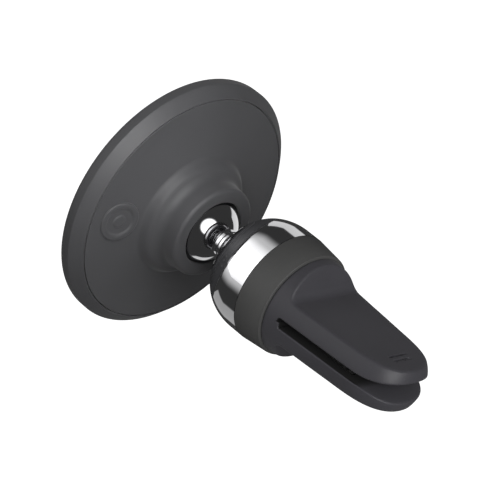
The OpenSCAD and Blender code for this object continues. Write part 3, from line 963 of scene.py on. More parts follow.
    def badge(self) -> bpy.types.Object:
        """Plain round badge: a rolled rim, a shallow dish in it and a low button in the middle."""
        edge, rim_w, dish_d, button_r, button_h = 0.45, 0.55, 0.3, 1.5, 0.2
        slope_r = self.badge_r - edge - rim_w
        floor_h, foot_r = self.badge_h - dish_d, slope_r - 0.9
        outline = Outline().to(0.0, -0.4).to(self.badge_r, -0.4)
        outline.arc(self.badge_r - edge, self.badge_h - edge, edge, 0.0, 90.0, 10)
        outline.curve(
            [
                (slope_r, self.badge_h), (slope_r - 0.4, self.badge_h),
                (foot_r + 0.4, floor_h), (foot_r, floor_h),
            ],
            10,
        )
        outline.curve(
            [(button_r + 0.3, floor_h), (button_r, floor_h), (button_r, floor_h + button_h),
             (button_r - 0.4, floor_h + button_h)], 10
        ).to(0.0, floor_h + button_h)
        verts, faces = outline.lathe(128)
        lean = Matrix.Rotation(-self.dish_slope(self.badge_x), 3, "Z")
        spot = np.array([self.badge_x, self.places.rim_y + self.dish(self.badge_x), 0.0])
        return finished_piece("badge_button", verts @ np.array(lean).T + spot, faces, Finishes.soft_touch)

    def build(self) -> list[bpy.types.Object]:
        """Makes the head's visible pieces.

        Returns:
            The pieces, riding on the head.
        """
        made = {
            "phone_pad": self.phone_pad(), "front_shell": self.front_shell(),
            "back_cover": self.back_cover(), "badge_plug": self.badge(),
        }
        for node, obj in made.items():
            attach(obj, Body.HEAD.value)
            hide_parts(node)
        return list(made.values())


@dataclass
class HeadHardware:
    """What sits inside the disc: the ring of arc magnets, the cover screws and the wave spring."""

    places: Places
    magnet_count: int = 18
    magnet_ri: float = 23.0
    magnet_ro: float = 27.4
    magnet_t: float = 1.6
    magnet_front_h: float = -1.2
    magnet_gap_deg: float = 1.6
    screw_count: int = 4
    screw_circle_r: float = 18.2
    screw_front_h: float = -1.05
    spring_mean_r: float = 8.35
    spring_leaf: float = 3.1
    spring_t: float = 0.3
    spring_low_h: float = -0.85
    spring_high_h: float = 1.15
    spring_waves: int = 3

    def magnets(self) -> bpy.types.Object:
        """Arc magnets: one arc bar swept with Curve to Mesh and copied round the ring."""
        step = 2.0 * math.pi / self.magnet_count
        sizes = {
            "Count": float(self.magnet_count), "Mean Radius": (self.magnet_ri + self.magnet_ro) / 2 * MM,
            "Width": (self.magnet_ro - self.magnet_ri) * MM, "Thickness": self.magnet_t * MM,
            "Sweep": step - math.radians(self.magnet_gap_deg), "Step": step,
        }
        tree = GeoTree("magnet_ring_tree", sizes)
        arc = tree.add(
            "GeometryNodeCurveArc", {"mode": "RADIUS"},
            {"Resolution": 13, "Radius": tree.size("Mean Radius"), "Sweep Angle": tree.size("Sweep")},
        )
        bar = tree.add(
            "GeometryNodeCurvePrimitiveQuadrilateral", {"mode": "RECTANGLE"},
            {"Width": tree.size("Width"), "Height": tree.size("Thickness")},
        )
        swept = tree.add(
            "GeometryNodeCurveToMesh", {},
            {"Curve": arc.outputs["Curve"], "Profile Curve": bar.outputs["Curve"], "Fill Caps": True},
        )
        count = tree.add("FunctionNodeFloatToInt", {}, {0: tree.size("Count")}).outputs[0]
        line = tree.add("GeometryNodeMeshLine", {}, {"Count": count, "Offset": (0.0, 0.0, 0.0)})
        index = tree.add("GeometryNodeInputIndex", {}, {}).outputs[0]
        turn = tree.vector(z=tree.math("MULTIPLY", index, tree.size("Step")))
        ring = tree.add(
            "GeometryNodeInstanceOnPoints", {},
            {"Points": line.outputs["Mesh"], "Instance": swept.outputs["Mesh"], "Rotation": turn},
        )
        tree.finish(ring.outputs["Instances"], Finishes.magnet)
        middle = self.places.rim_y + self.magnet_front_h + self.magnet_t / 2
        return tree.run("magnet_ring_arcs", Finishes.magnet, self._about_axis(middle))

    def screws(self) -> bpy.types.Object:
        """Cover screws: a countersunk head and a shank, copied onto the screw circle."""
        sizes = {
            "Count": float(self.screw_count), "Circle Radius": self.screw_circle_r * MM,
            "Head Radius": 1.55 * MM, "Head Depth": 0.85 * MM,
            "Shank Radius": 0.78 * MM, "Shank Length": 4.0 * MM,
        }
        tree = GeoTree("cover_screw_tree", sizes)
        head = tree.add(
            "GeometryNodeMeshCone", {},
            {"Vertices": 24, "Radius Top": tree.size("Shank Radius"),
             "Radius Bottom": tree.size("Head Radius"), "Depth": tree.size("Head Depth")},
        )
        shank = tree.add(
            "GeometryNodeMeshCylinder", {},
            {"Vertices": 20, "Radius": tree.size("Shank Radius"), "Depth": tree.size("Shank Length")},
        )
        half_shank = tree.math("MULTIPLY", tree.size("Shank Length"), 0.5)
        lift = tree.vector(z=tree.math("ADD", tree.size("Head Depth"), half_shank))
        moved = {"Geometry": shank.outputs["Mesh"], "Translation": lift}
        raised = tree.add("GeometryNodeTransform", {}, moved)
        both = tree.add("GeometryNodeJoinGeometry", {}, {})
        tree.tree.links.new(head.outputs["Mesh"], both.inputs[0])
        tree.tree.links.new(raised.outputs[0], both.inputs[0])
        count = tree.add("FunctionNodeFloatToInt", {}, {0: tree.size("Count")}).outputs[0]
        spots = {"Vertices": count, "Radius": tree.size("Circle Radius")}
        circle = tree.add("GeometryNodeMeshCircle", {}, spots)
        placed = tree.add(
            "GeometryNodeInstanceOnPoints", {},
            {"Points": circle.outputs["Mesh"], "Instance": both.outputs[0]},
        )
        tree.finish(placed.outputs["Instances"], Finishes.screw)
        quarter = Matrix.Rotation(math.radians(45.0), 4, "Z")
        place = self._about_axis(self.places.rim_y + self.screw_front_h) @ quarter
        return tree.run("cover_screw_set", Finishes.screw, place)

    def wave_spring(self) -> bpy.types.Object:
        """Wave spring: a flat leaf swept along a ring whose height follows a sine."""
        swing = (self.spring_high_h - self.spring_low_h - self.spring_t) / 2
        sizes = {
            "Mean Radius": self.spring_mean_r * MM, "Leaf": self.spring_leaf * MM,
            "Thickness": self.spring_t * MM,
            "Swing": swing * MM, "Waves": float(self.spring_waves),
        }
        tree = GeoTree("wave_spring_tree", sizes)
        ring = tree.add(
            "GeometryNodeCurvePrimitiveCircle", {"mode": "RADIUS"},
            {"Resolution": 120, "Radius": tree.size("Mean Radius")},
        )
        along = tree.add("GeometryNodeSplineParameter", {}, {}).outputs["Factor"]
        angle = tree.math("MULTIPLY", tree.math("MULTIPLY", along, 2.0 * math.pi), tree.size("Waves"))
        height = tree.math("MULTIPLY", tree.math("SINE", angle), tree.size("Swing"))
        waved = tree.add(
            "GeometryNodeSetPosition", {},
            {"Geometry": ring.outputs["Curve"], "Offset": tree.vector(z=height)},
        )
        leaf = tree.add(
            "GeometryNodeCurvePrimitiveQuadrilateral", {"mode": "RECTANGLE"},
            {"Width": tree.size("Leaf"), "Height": tree.size("Thickness")},
        )
        upright = tree.add("GeometryNodeSetCurveNormal", {"mode": "Z_UP"}, {"Curve": waved.outputs[0]})
        swept = tree.add(
            "GeometryNodeCurveToMesh", {},
            {"Curve": upright.outputs[0], "Profile Curve": leaf.outputs["Curve"]},
        )
        tree.finish(swept.outputs["Mesh"], Finishes.spring)
        middle = self.places.rim_y + (self.spring_low_h + self.spring_high_h) / 2
        return tree.run("wave_spring_leaf", Finishes.spring, self._about_axis(middle))

    @staticmethod
    def _about_axis(y: float) -> Matrix:
        """Turns a tree's Z axis onto the clip axis and moves it to a station in millimetres."""
        return Matrix.Translation((0.0, y * MM, 0.0)) @ Matrix.Rotation(math.radians(-90.0), 4, "X")

    def build(self) -> list[bpy.types.Object]:
        """Makes the inner hardware.

        Returns:
            The pieces, riding on the head.
        """
        made = {
            "magnet_ring": self.magnets(), "cover_screws": self.screws(), "wave_spring": self.wave_spring(),
        }
        for node, obj in made.items():
            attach(obj, Body.HEAD.value)
            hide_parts(node)
        return list(made.values())


# ------------------------------------------------------------------ ball joint, dome and band


@dataclass
class BallStud:
    """Chrome ball with its neck, and the ring that the neck enters the dome through."""

    places: Places
    ball_r: float = 8.5
    flat: float = 7.0
    key_r: float = 2.3
    key_depth: float = 3.0
    neck_r: float = 3.0
    fillet: float = 0.55
    collar_r: float = 3.45
    collar_start: float = 9.2
    collar_len: float = 1.1
    lean: float = 0.09
    shank_end: float = 26.6
    ring_r: float = 5.3
    ring_t: float = 1.7

    def stud(self) -> bpy.types.Object:
        """Ball, filleted neck, collar and shank turned in one piece."""
        y0 = self.places.ball_y
        flat_angle = math.asin(self.flat / self.ball_r)
        reach_r = self.neck_r + self.fillet
        reach_y = math.sqrt((self.ball_r + self.fillet) ** 2 - reach_r**2)
        meet = math.atan2(reach_y, reach_r)
        c0, c1, edge = self.collar_start, self.collar_start + self.collar_len, 0.2
        end = y0 + self.shank_end
        flat_y = y0 - self.flat
        outline = Outline().to(0.0, flat_y + self.key_depth).to(self.key_r, flat_y + self.key_depth)
        outline.to(self.key_r, flat_y + 0.15).to(self.key_r + 0.15, flat_y)
        outline.through(
            lambda a: (self.ball_r * math.cos(a), y0 + self.ball_r * math.sin(a)), -flat_angle, meet, 110
        )
        outline.arc(reach_r, y0 + reach_y, self.fillet, math.degrees(meet) - 180.0, -180.0, 10)
        waist_r = self.neck_r - self.lean * 1.1
        fade_r = self.collar_r - self.lean * (self.collar_len - 2 * edge)
        outline.to(waist_r, y0 + c0 - 0.06).to(waist_r + 0.06, y0 + c0).arc(
            self.collar_r - edge, y0 + c0 + edge, edge, -90.0, 0.0, 6
        ).arc(fade_r - edge, y0 + c1 - edge, edge, 0.0, 90.0, 6)
        outline.to(self.neck_r + 0.06, y0 + c1).to(self.neck_r, y0 + c1 + 0.06)
        outline.to(waist_r, y0 + c1 + 1.4).to(waist_r, end - 0.6).to(self.neck_r - 0.6, end).to(0.0, end)
        verts, faces = outline.lathe()
        return finished_piece("ball_stud_turned", verts, faces, Finishes.chrome)

    def ring(self) -> bpy.types.Object:
        """Stepped chrome ring that closes the dome's nose round the neck."""
        back = self.places.nose_y - 0.05
        front, inner, edge = back - self.ring_t, self.neck_r + 0.05, 0.28
        step_r, step = 4.35, 0.5
        outline = Outline().to(inner, front + 0.15).to(inner + 0.15, front).to(step_r - 0.12, front)
        outline.arc(step_r - 0.12, front + 0.12, 0.12, -90.0, 0.0, 5).to(step_r, front + step - 0.04)
        outline.to(step_r + 0.04, front + step).arc(
            self.ring_r - edge, front + step + edge, edge, -90.0, 0.0, 10
        ).to(self.ring_r, back - 0.1).to(self.ring_r - 0.1, back)
        outline.to(4.2, back).to(4.2, back + 2.4).to(inner, back + 2.4)
        verts, faces = outline.lathe()
        return finished_piece("nose_ring_stepped", verts, faces, Finishes.chrome)

    def build(self) -> list[bpy.types.Object]:
        """Makes the chrome pieces of the joint.

        Returns:
            The pieces, riding on the clip.
        """
        made = {"ball_stud": self.stud(), "nose_ring": self.ring()}
        for node, obj in made.items():
            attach(obj, Body.CLIP.value)
            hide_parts(node)
        return list(made.values())


@dataclass
class Dome:
    """Mirror-plated dome, a quarter ellipse turned about the clip axis by a geometry tree."""

    places: Places
    nose_r: float = 6.1
    hole_r: float = 4.3
    rise: float = 9.9
    wall: float = 1.2
    along: int = 201
    around: int = AROUND

    def shell(self) -> bpy.types.Object:
        """Dome shell: a grid bent by the ellipse rule, outside and inside in one closed skin.

        The grid's first axis runs along the outline, out over the nose and back inside the wall,
        and its second axis turns about the clip axis.

        Returns:
            The plated shell.
        """
        p = self.places
        sizes = {
            "Nose Radius": self.nose_r * MM, "Dome Radius": p.dome_r * MM, "Rise": self.rise * MM,
            "Wall": self.wall * MM, "Nose": p.nose_y * MM, "Skirt End": (p.band_front_y - 0.05) * MM,
        }
        tree = GeoTree("dome_tree", sizes)
        outer = self._sheet(tree, 0.0)
        inner = self._sheet(tree, 1.0)
        both = tree.add("GeometryNodeJoinGeometry", {}, {})
        for sheet in (outer, inner):
            tree.tree.links.new(sheet, both.inputs[0])
        tree.finish(both.outputs[0], Finishes.chrome)
        obj = tree.run("dome_shell_mirror", Finishes.chrome)
        self._close_rims(obj)
        return obj

    def _sheet(self, tree: GeoTree, inside: float) -> bpy.types.NodeSocket:
        """One wall of the shell.

        Args:
            tree: The tree to build in.
            inside: 0 for the outer wall, 1 for the inner one.

        Returns:
            The bent sheet's geometry.
        """
        grid = tree.add(
            "GeometryNodeMeshGrid", {},
            {"Size X": 1.0, "Size Y": 1.0, "Vertices X": self.along, "Vertices Y": self.around + 1},
        )
        position = tree.add("GeometryNodeInputPosition", {}, {})
        spot = tree.add("ShaderNodeSeparateXYZ", {}, {0: position.outputs[0]})
        u = tree.math("ADD", spot.outputs["X"], 0.5)
        turn = tree.math("MULTIPLY", tree.math("ADD", spot.outputs["Y"], 0.5), 2.0 * math.pi)
        inset = tree.math("MULTIPLY", tree.size("Wall"), inside)
        bend = tree.math("MULTIPLY", tree.math("MINIMUM", tree.math("DIVIDE", u, 0.8), 1.0), math.pi / 2)
        skirt = tree.math("MULTIPLY", tree.math("MAXIMUM", tree.math("SUBTRACT", u, 0.8), 0.0), 5.0)
        half_inset = tree.math("MULTIPLY", inset, 0.5)
        low_r = tree.math("SUBTRACT", tree.size("Nose Radius"), half_inset)
        start_r = tree.math("ADD", tree.size("Nose Radius"), half_inset)
        gain = tree.math("SUBTRACT", tree.size("Dome Radius"), start_r)
        radius = tree.math("ADD", low_r, tree.math("MULTIPLY", gain, tree.math("SINE", bend)))
        rise = tree.math("SUBTRACT", tree.size("Rise"), inset)
        lift = tree.math("MULTIPLY", rise, tree.math("SUBTRACT", 1.0, tree.math("COSINE", bend)))
        curve_y = tree.math("ADD", tree.math("ADD", tree.size("Nose"), inset), lift)
        crown_y = tree.math("ADD", tree.size("Nose"), tree.size("Rise"))
        skirt_length = tree.math("SUBTRACT", tree.size("Skirt End"), crown_y)
        y = tree.math("ADD", curve_y, tree.math("MULTIPLY", skirt, skirt_length))
        x = tree.math("MULTIPLY", radius, tree.math("COSINE", turn))
        z = tree.math("MULTIPLY", radius, tree.math("SINE", turn))
        moved = {"Geometry": grid.outputs["Mesh"], "Position": tree.vector(x, y, z)}
        return tree.add("GeometryNodeSetPosition", {}, moved).outputs[0]

    def _close_rims(self, obj: bpy.types.Object) -> None:
        """Closes the shell at its two rims: the skirt's end, and the nose round the neck's hole.

        Args:
            obj: The shell with its two open walls.
        """
        work = bmesh.new()
        work.from_mesh(obj.data)
        bmesh.ops.remove_doubles(work, verts=work.verts, dist=1e-7)
        middle = self.places.nose_y * MM + self.rise * MM / 2
        rims = [e for e in work.edges if e.is_boundary]
        skirt = [e for e in rims if e.verts[0].co.y > middle]
        bmesh.ops.bridge_loops(work, edges=skirt)
        nose = [e for e in rims if e.is_valid and e.verts[0].co.y < middle]
        grown = bmesh.ops.extrude_edge_only(work, edges=nose)
        for vert in (v for v in grown["geom"] if isinstance(v, bmesh.types.BMVert)):
            share = self.hole_r * MM / math.hypot(vert.co.x, vert.co.z)
            vert.co.x *= share
            vert.co.z *= share
        bmesh.ops.bridge_loops(work, edges=[e for e in work.edges if e.is_boundary])
        work.to_mesh(obj.data)
        work.free()
        turn_outwards(obj.data)
        obj.data.shade_smooth()
        obj.data.set_sharp_from_angle(angle=math.radians(SHARP_DEGREES))

    def build(self) -> list[bpy.types.Object]:
        """Makes the dome.

        Returns:
            The shell, riding on the clip.
        """
        shell = self.shell()
        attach(shell, Body.CLIP.value)
        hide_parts("dome_shell")
        return [shell]


@dataclass
class TrimBand:
    """Matt ring between the dome and the clip, slightly tapered, with broken edges."""

    places: Places
    rear_r: float = 12.65
    bore_r: float = 11.75
    spigot: float = 1.3
    spigot_r: float = 12.1
    front_edge: float = 0.12
    rear_edge: float = 0.18
    lip: float = 0.3

    def build(self) -> list[bpy.types.Object]:
        """Turns the band.

        Returns:
            The band, riding on the clip.
        """
        p = self.places
        front, rear, edge = p.band_front_y, p.band_rear_y, self.front_edge
        outline = Outline().to(self.bore_r, front - self.spigot).to(self.spigot_r, front - self.spigot)
        outline.to(self.spigot_r, front).arc(p.dome_r - edge, front + edge, edge, -90.0, 0.0, 5)
        outline.to(self.rear_r + 0.04, rear - self.lip - 0.12).to(self.rear_r - 0.02, rear - self.lip)
        outline.arc(self.rear_r - 0.2, rear - 0.2, self.rear_edge, 0.0, 90.0, 6).to(self.bore_r, rear - 0.02)
        verts, faces = outline.lathe()
        band = finished_piece("trim_band_matt", verts, faces, Finishes.band, 25.0)
        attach(band, Body.CLIP.value)
        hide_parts("trim_band")
        return [band]


# ------------------------------------------------------------------ silicone clip


def smooth_max(a: np.ndarray, b: np.ndarray, width: Any) -> np.ndarray:
    """The larger of two distances, rounded where they are closer than width.

    Args:
        a: First distances.
        b: Second distances.
        width: Width of the rounding, a number or one value for each point.

    Returns:
        The rounded maximum.
    """
    width = np.maximum(width, 1e-6)
    near = np.maximum(0.0, 1.0 - np.abs(a - b) / width)
    return np.maximum(a, b) + 0.25 * width * near * near


def ease(value: Any) -> Any:
    """Smooth step from 0 to 1 of a value that is clamped to 0..1."""
    t = np.clip(value, 0.0, 1.0)
    return t * t * (3.0 - 2.0 * t)


@dataclass
class ClipForm:
    """The clip's outer form as a distance rule: a turned body, a scoop on each side and the slot."""

    places: Places
    side: Side
    body_r: float = 11.6
    taper: float = 0.086
    end_len: float = 12.6
    end_power: float = 2.9
    jaw_top: float = 5.2
    slot_half: float = 1.07
    flare: float = 1.4
    flare_len: float = 9.2
    lean_deg: float = 16.2
    fold_r: float = 2.2
    foot_y: float = -0.1
    crease: float = 0.5
    lip: float = 0.45
    start_round: float = 0.22
    mark_y: tuple[float, float] = (23.1, 24.6)
    mark_half: float = 2.3
    mark_width: float = 0.55
    mark_depth: float = 0.4
    mark_fade: tuple[float, float] = (0.3, 0.24)
    upper_slot_end: tuple[float, float] = (-0.95, 0.45)
    lower_slot_end: tuple[float, float] = (-0.1, 0.3)
    lip_start: float = -0.9
    lip_run: float = 0.8

    @property
    def start_y(self) -> float:
        """Station where the silicone starts, behind the band."""
        return self.places.band_rear_y + 0.05

    @property
    def tip_y(self) -> float:
        """Station of the jaws' tips."""
        return self.places.tip_y

    def radius(self, y: np.ndarray) -> np.ndarray:
        """Radius of the body, with the rounded edge next to the band, before its rounded end."""
        back = np.clip(1.0 - (y - self.start_y) / self.start_round, 0.0, 1.0)
        return self.body_r - self.taper * y - self.start_round * (1.0 - np.sqrt(1.0 - back * back))

    def gap(self, y: np.ndarray) -> np.ndarray:
        """Height of the slot's face above the clip's middle plane.

        The slot reaches a little further back above the middle plane than below it, where a short
        tab stands in its closed end.
        """
        start, run = self.upper_slot_end if self.side is Side.UPPER else self.lower_slot_end
        near = np.clip(1.0 - (y - start) / run, 0.0, 1.0)
        ramp = np.where(y < start, 0.0, np.sqrt(np.maximum(0.0, 1.0 - near * near)))
        opened = self.flare * (np.clip(y - (self.tip_y - self.flare_len), 0.0, None) / self.flare_len) ** 2
        return self.slot_half * ramp + opened

    def _body(self, p: np.ndarray) -> np.ndarray:
        """Distance out of the turned body."""
        rho, y = np.hypot(p[..., 0], p[..., 2]), p[..., 1]
        radius = self.radius(y)
        share = np.clip((y - (self.tip_y - self.end_len)) / self.end_len, 0.0, None)
        bulge = ((rho / radius) ** self.end_power + share**self.end_power) ** (1.0 / self.end_power)
        return np.where(share > 0.0, radius * (bulge - 1.0), rho - radius)

    def _scoop(self, p: np.ndarray) -> np.ndarray:
        """Distance into the scoop above the jaw, with its fold and the two grip grooves."""
        x, y, z = p[..., 0], p[..., 1], p[..., 2]
        lean = math.radians(self.lean_deg)
        tangent = self.fold_r / math.tan(math.radians(90.0 + self.lean_deg) / 2)
        centre_y, centre_z = self.foot_y + tangent, self.jaw_top + self.fold_r
        flat = -(z - centre_z)
        wall = -((y - centre_y) * math.cos(lean) + (z - centre_z) * math.sin(lean))
        dot = math.sin(lean)
        both = (flat - dot * wall > 0.0) & (wall - dot * flat > 0.0)
        corner = np.hypot(y - centre_y, z - centre_z)
        outside = np.where(both, corner, np.maximum(flat, wall)) - self.fold_r
        fade_x, fade_y = self.mark_fade
        across = ease((self.mark_half + fade_x / 2 - np.abs(x)) / fade_x)
        dents = sum(ease((self.mark_width / 2 + fade_y / 2 - np.abs(y - m)) / fade_y) for m in self.mark_y)
        return self.mark_depth * across * dents - outside

    def field(self, p: np.ndarray) -> np.ndarray:
        """Distance out of the jaw's outer form, below zero inside it.

        Args:
            p: Points in millimetres, with Z as the upper jaw has it.

        Returns:
            One distance for each point.
        """
        y, z = p[..., 1], p[..., 2]
        outer = smooth_max(self._body(p), self._scoop(p), self.crease)
        lip = self.lip * ease((y - self.lip_start) / self.lip_run)
        return smooth_max(outer, self.gap(y) - z, lip)


@dataclass
class ClipSkin:
    """One half of the silicone over the clip: the root behind the slot and one jaw.

    Rays from a spine inside the jaw find the outer form, and the wall is set off inwards from it.
    """

    form: ClipForm
    spine_z: float = 3.1
    cap_y: float = 22.0
    wall: float = 0.55
    ridge_deg: float = 24.0
    window_half: float = 7.2
    window_y: tuple[float, float] = (2.9, 19.1)
    window_depth: float = 0.5
    web_y: float = -0.95
    fine_y: tuple[float, float] = (-2.5, 3.1)
    ridge_z: float = 4.5
    lip_turn: float = 0.07
    reach: float = 24.0
    halvings: int = 44
    start_share: float = 0.93
    flush: float = 1e-3
    flex_y: tuple[float, float] = (-1.2, 2.7)

    def _stations(self) -> tuple[np.ndarray, np.ndarray]:
        """Stations of the rays and how far each leans from upright towards the tip.

        Returns:
            Spine stations, and lean angles in radians that are 0 along the straight part.
        """
        start, (fine_start, fine_end) = self.form.start_y, self.fine_y
        straight = np.concatenate([
            start + self.form.start_round * (1.0 - np.cos(np.linspace(0.0, math.pi / 2, 7))),
            np.linspace(start + self.form.start_round, fine_start, 7)[1:],
            np.linspace(fine_start, fine_end, 86)[1:],
            np.linspace(fine_end, self.cap_y, 44)[1:],
        ])
        drop = self.form.jaw_top - self.spine_z
        reach = np.concatenate([
            np.linspace(0.0, 1.0, 8)[1:], np.linspace(1.0, 3.0, 30)[1:], np.linspace(3.0, 5.6, 10)[1:],
            np.linspace(5.6, 7.6, 20)[1:],
        ])
        leans = math.pi / 2 - np.arctan2(drop, reach)
        leans = np.concatenate([leans, np.linspace(leans[-1], math.pi / 2, 14)[1:-1]])
        spine = np.concatenate([straight, np.full(len(leans), self.cap_y)])
        return spine, np.concatenate([np.zeros(len(straight)), leans])

    def _directions(self, station: float) -> np.ndarray:
        """Angles of the rays round the spine at a station, from the slot's middle all the way round.

        Args:
            station: Station along the clip axis.

        Returns:
            Angles in radians, anticlockwise from +X.
        """
        y = np.array(min(station, self.cap_y))
        gap, radius = float(self.form.gap(y)), float(self.form.radius(y))
        lip = math.atan2(gap - self.spine_z, math.sqrt(radius**2 - gap**2))
        ridge = math.radians(self.ridge_deg)
        top_half = self.ridge_z / math.tan(ridge)
        top = np.arctan2(self.ridge_z, np.linspace(top_half, -top_half, 64))
        past_lip = lip + self.lip_turn
        side = np.concatenate([np.linspace(lip, past_lip, 13), np.linspace(past_lip, ridge, 24)[1:-1]])
        edge_x = math.sqrt(radius**2 - gap**2)
        inner_x = np.concatenate([
            np.linspace(0.2, self.window_half - 0.35, 10),
            self.window_half + np.array([-0.15, 0.0, 0.15, 0.35]),
            np.linspace(self.window_half + 0.35, edge_x - 0.7, 6)[1:],
            edge_x - np.array([0.5, 0.35, 0.2, 0.1]),
        ])
        floor = np.arctan2(gap - self.spine_z, inner_x)
        right = np.concatenate([floor, side])
        left = (math.pi - right)[::-1]
        return np.concatenate([right, top, left])

    def _outer(self) -> np.ndarray:
        """Points of the outer form, by station and by direction.

        Returns:
            An array of stations, directions and three coordinates.
        """
        spine, leans = self._stations()
        turns = np.array([self._directions(float(s)) for s in spine])
        cos_l, sin_l = np.cos(leans)[:, None], np.sin(leans)[:, None]
        along = np.broadcast_to(sin_l, turns.shape)
        rays = np.stack([np.cos(turns) * cos_l, along, np.sin(turns) * cos_l], -1)
        starts = np.zeros_like(rays)
        starts[..., 1] = spine[:, None]
        starts[..., 2] = self.spine_z
        low, high = np.zeros(turns.shape), np.full(turns.shape, self.reach)
        for _ in range(self.halvings):
            middle = (low + high) / 2
            inside = self.form.field(starts + rays * middle[..., None]) < 0.0
            low, high = np.where(inside, middle, low), np.where(inside, high, middle)
        return starts + rays * low[..., None]

    @staticmethod
    def _normals(points: np.ndarray) -> np.ndarray:
        """Outward normals of a grid that closes on itself in its second direction."""
        along = np.gradient(points, axis=0)
        around = np.roll(points, -1, axis=1) - np.roll(points, 1, axis=1)
        cross = np.cross(along, around)
        return cross / np.maximum(np.linalg.norm(cross, axis=-1, keepdims=True), 1e-9)

    def _window(self, points: np.ndarray) -> np.ndarray:
        """Share of the rubber insert's window at each point: 1 inside it on the slot's face."""
        x, y, z = points[..., 0], points[..., 1], points[..., 2]
        on_face = z < self.form.gap(y) + 0.3
        across = ease((self.window_half + 0.06 - np.abs(x)) / 0.12)
        lengthways = ease((y - self.window_y[0] + 0.1) / 0.2) * ease((self.window_y[1] + 0.1 - y) / 0.2)
        return across * lengthways * on_face

    def mesh(self) -> tuple[np.ndarray, list[list[int]]]:
        """The half skin as one closed wall, open inside towards the clip's core.

        Returns:
            Points in millimetres, and faces.
        """
        outer = self._outer()
        normals = self._normals(outer)
        window = self._window(outer)
        inner = outer - normals * self.wall
        outer[..., 2] += window * self.window_depth
        floor_z = np.maximum(inner[..., 2], outer[..., 2] + 0.12)
        inner[..., 2] = np.where(window > 0.5, floor_z, inner[..., 2])
        inner[0] = outer[0]
        inner[0, :, 0] *= self.start_share
        inner[0, :, 2] *= self.start_share
        seam = (outer[..., 2] < self.flush) & (outer[..., 1] < self.web_y + 0.5)
        inner[seam, 2] = 0.0
        rows, cols = outer.shape[:2]
        number = np.arange(rows * cols).reshape(rows, cols)
        floor = (outer[..., 2] < self.flush) & (outer[..., 1] < self.web_y)
        quads = []
        for i in range(rows - 1):
            for j in range(cols):
                k = (j + 1) % cols
                corners = ((i, j), (i, k), (i + 1, k), (i + 1, j))
                if not all(floor[c] for c in corners):
                    quads.append([int(number[c]) for c in corners])
        return self._close(outer, inner, quads, number[-1])

    def _close(
        self, outer: np.ndarray, inner: np.ndarray, quads: list[list[int]], last: np.ndarray
    ) -> tuple[np.ndarray, list[list[int]]]:
        """Joins the outer and inner sheets into one closed wall.

        Args:
            outer: Grid of outer points.
            inner: Grid of inner points.
            quads: Faces of the outer sheet.
            last: Numbers of the last ring's points, which close on a pole at the tip.

        Returns:
            Points and faces without unused points.
        """
        count = outer.shape[0] * outer.shape[1]
        tip = outer[-1].mean(axis=0)
        poles = [tip, tip - [0.0, self.wall, 0.0]]
        verts = np.concatenate([outer.reshape(-1, 3), inner.reshape(-1, 3), poles])
        ring = [int(n) for n in last]
        cap = [[a, b, 2 * count] for a, b in zip(ring, ring[1:] + ring[:1])]
        sheet = quads + cap
        edges: dict[tuple[int, int], int] = {}
        for face in sheet:
            for a, b in zip(face, face[1:] + face[:1]):
                key = (min(a, b), max(a, b))
                edges[key] = 0 if key in edges else (1 if (a, b) == key else -1)
        inside = [[n + 1 if n == 2 * count else n + count for n in reversed(face)] for face in sheet]
        rim = []
        for (a, b), way in edges.items():
            if way:
                a, b = (a, b) if way > 0 else (b, a)
                rim.append([b, a, a + count, b + count])
        faces = sheet + inside + rim
        used = sorted({n for face in faces for n in face})
        renumber = {n: i for i, n in enumerate(used)}
        return verts[used], [[renumber[n] for n in face] for face in faces]

    def build(self) -> bpy.types.Object:
        """Makes the half skin.

        Returns:
            The skin.
        """
        side = self.form.side
        verts, faces = self.mesh()
        verts[:, 2] *= side.value
        skin = finished_piece(f"{side.word}_clip_skin", verts, faces, Finishes.silicone, 50.0)
        flex_start, flex_end = self.flex_y
        flex_start * MM
        flex_end * MM
        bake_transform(skin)
        return skin


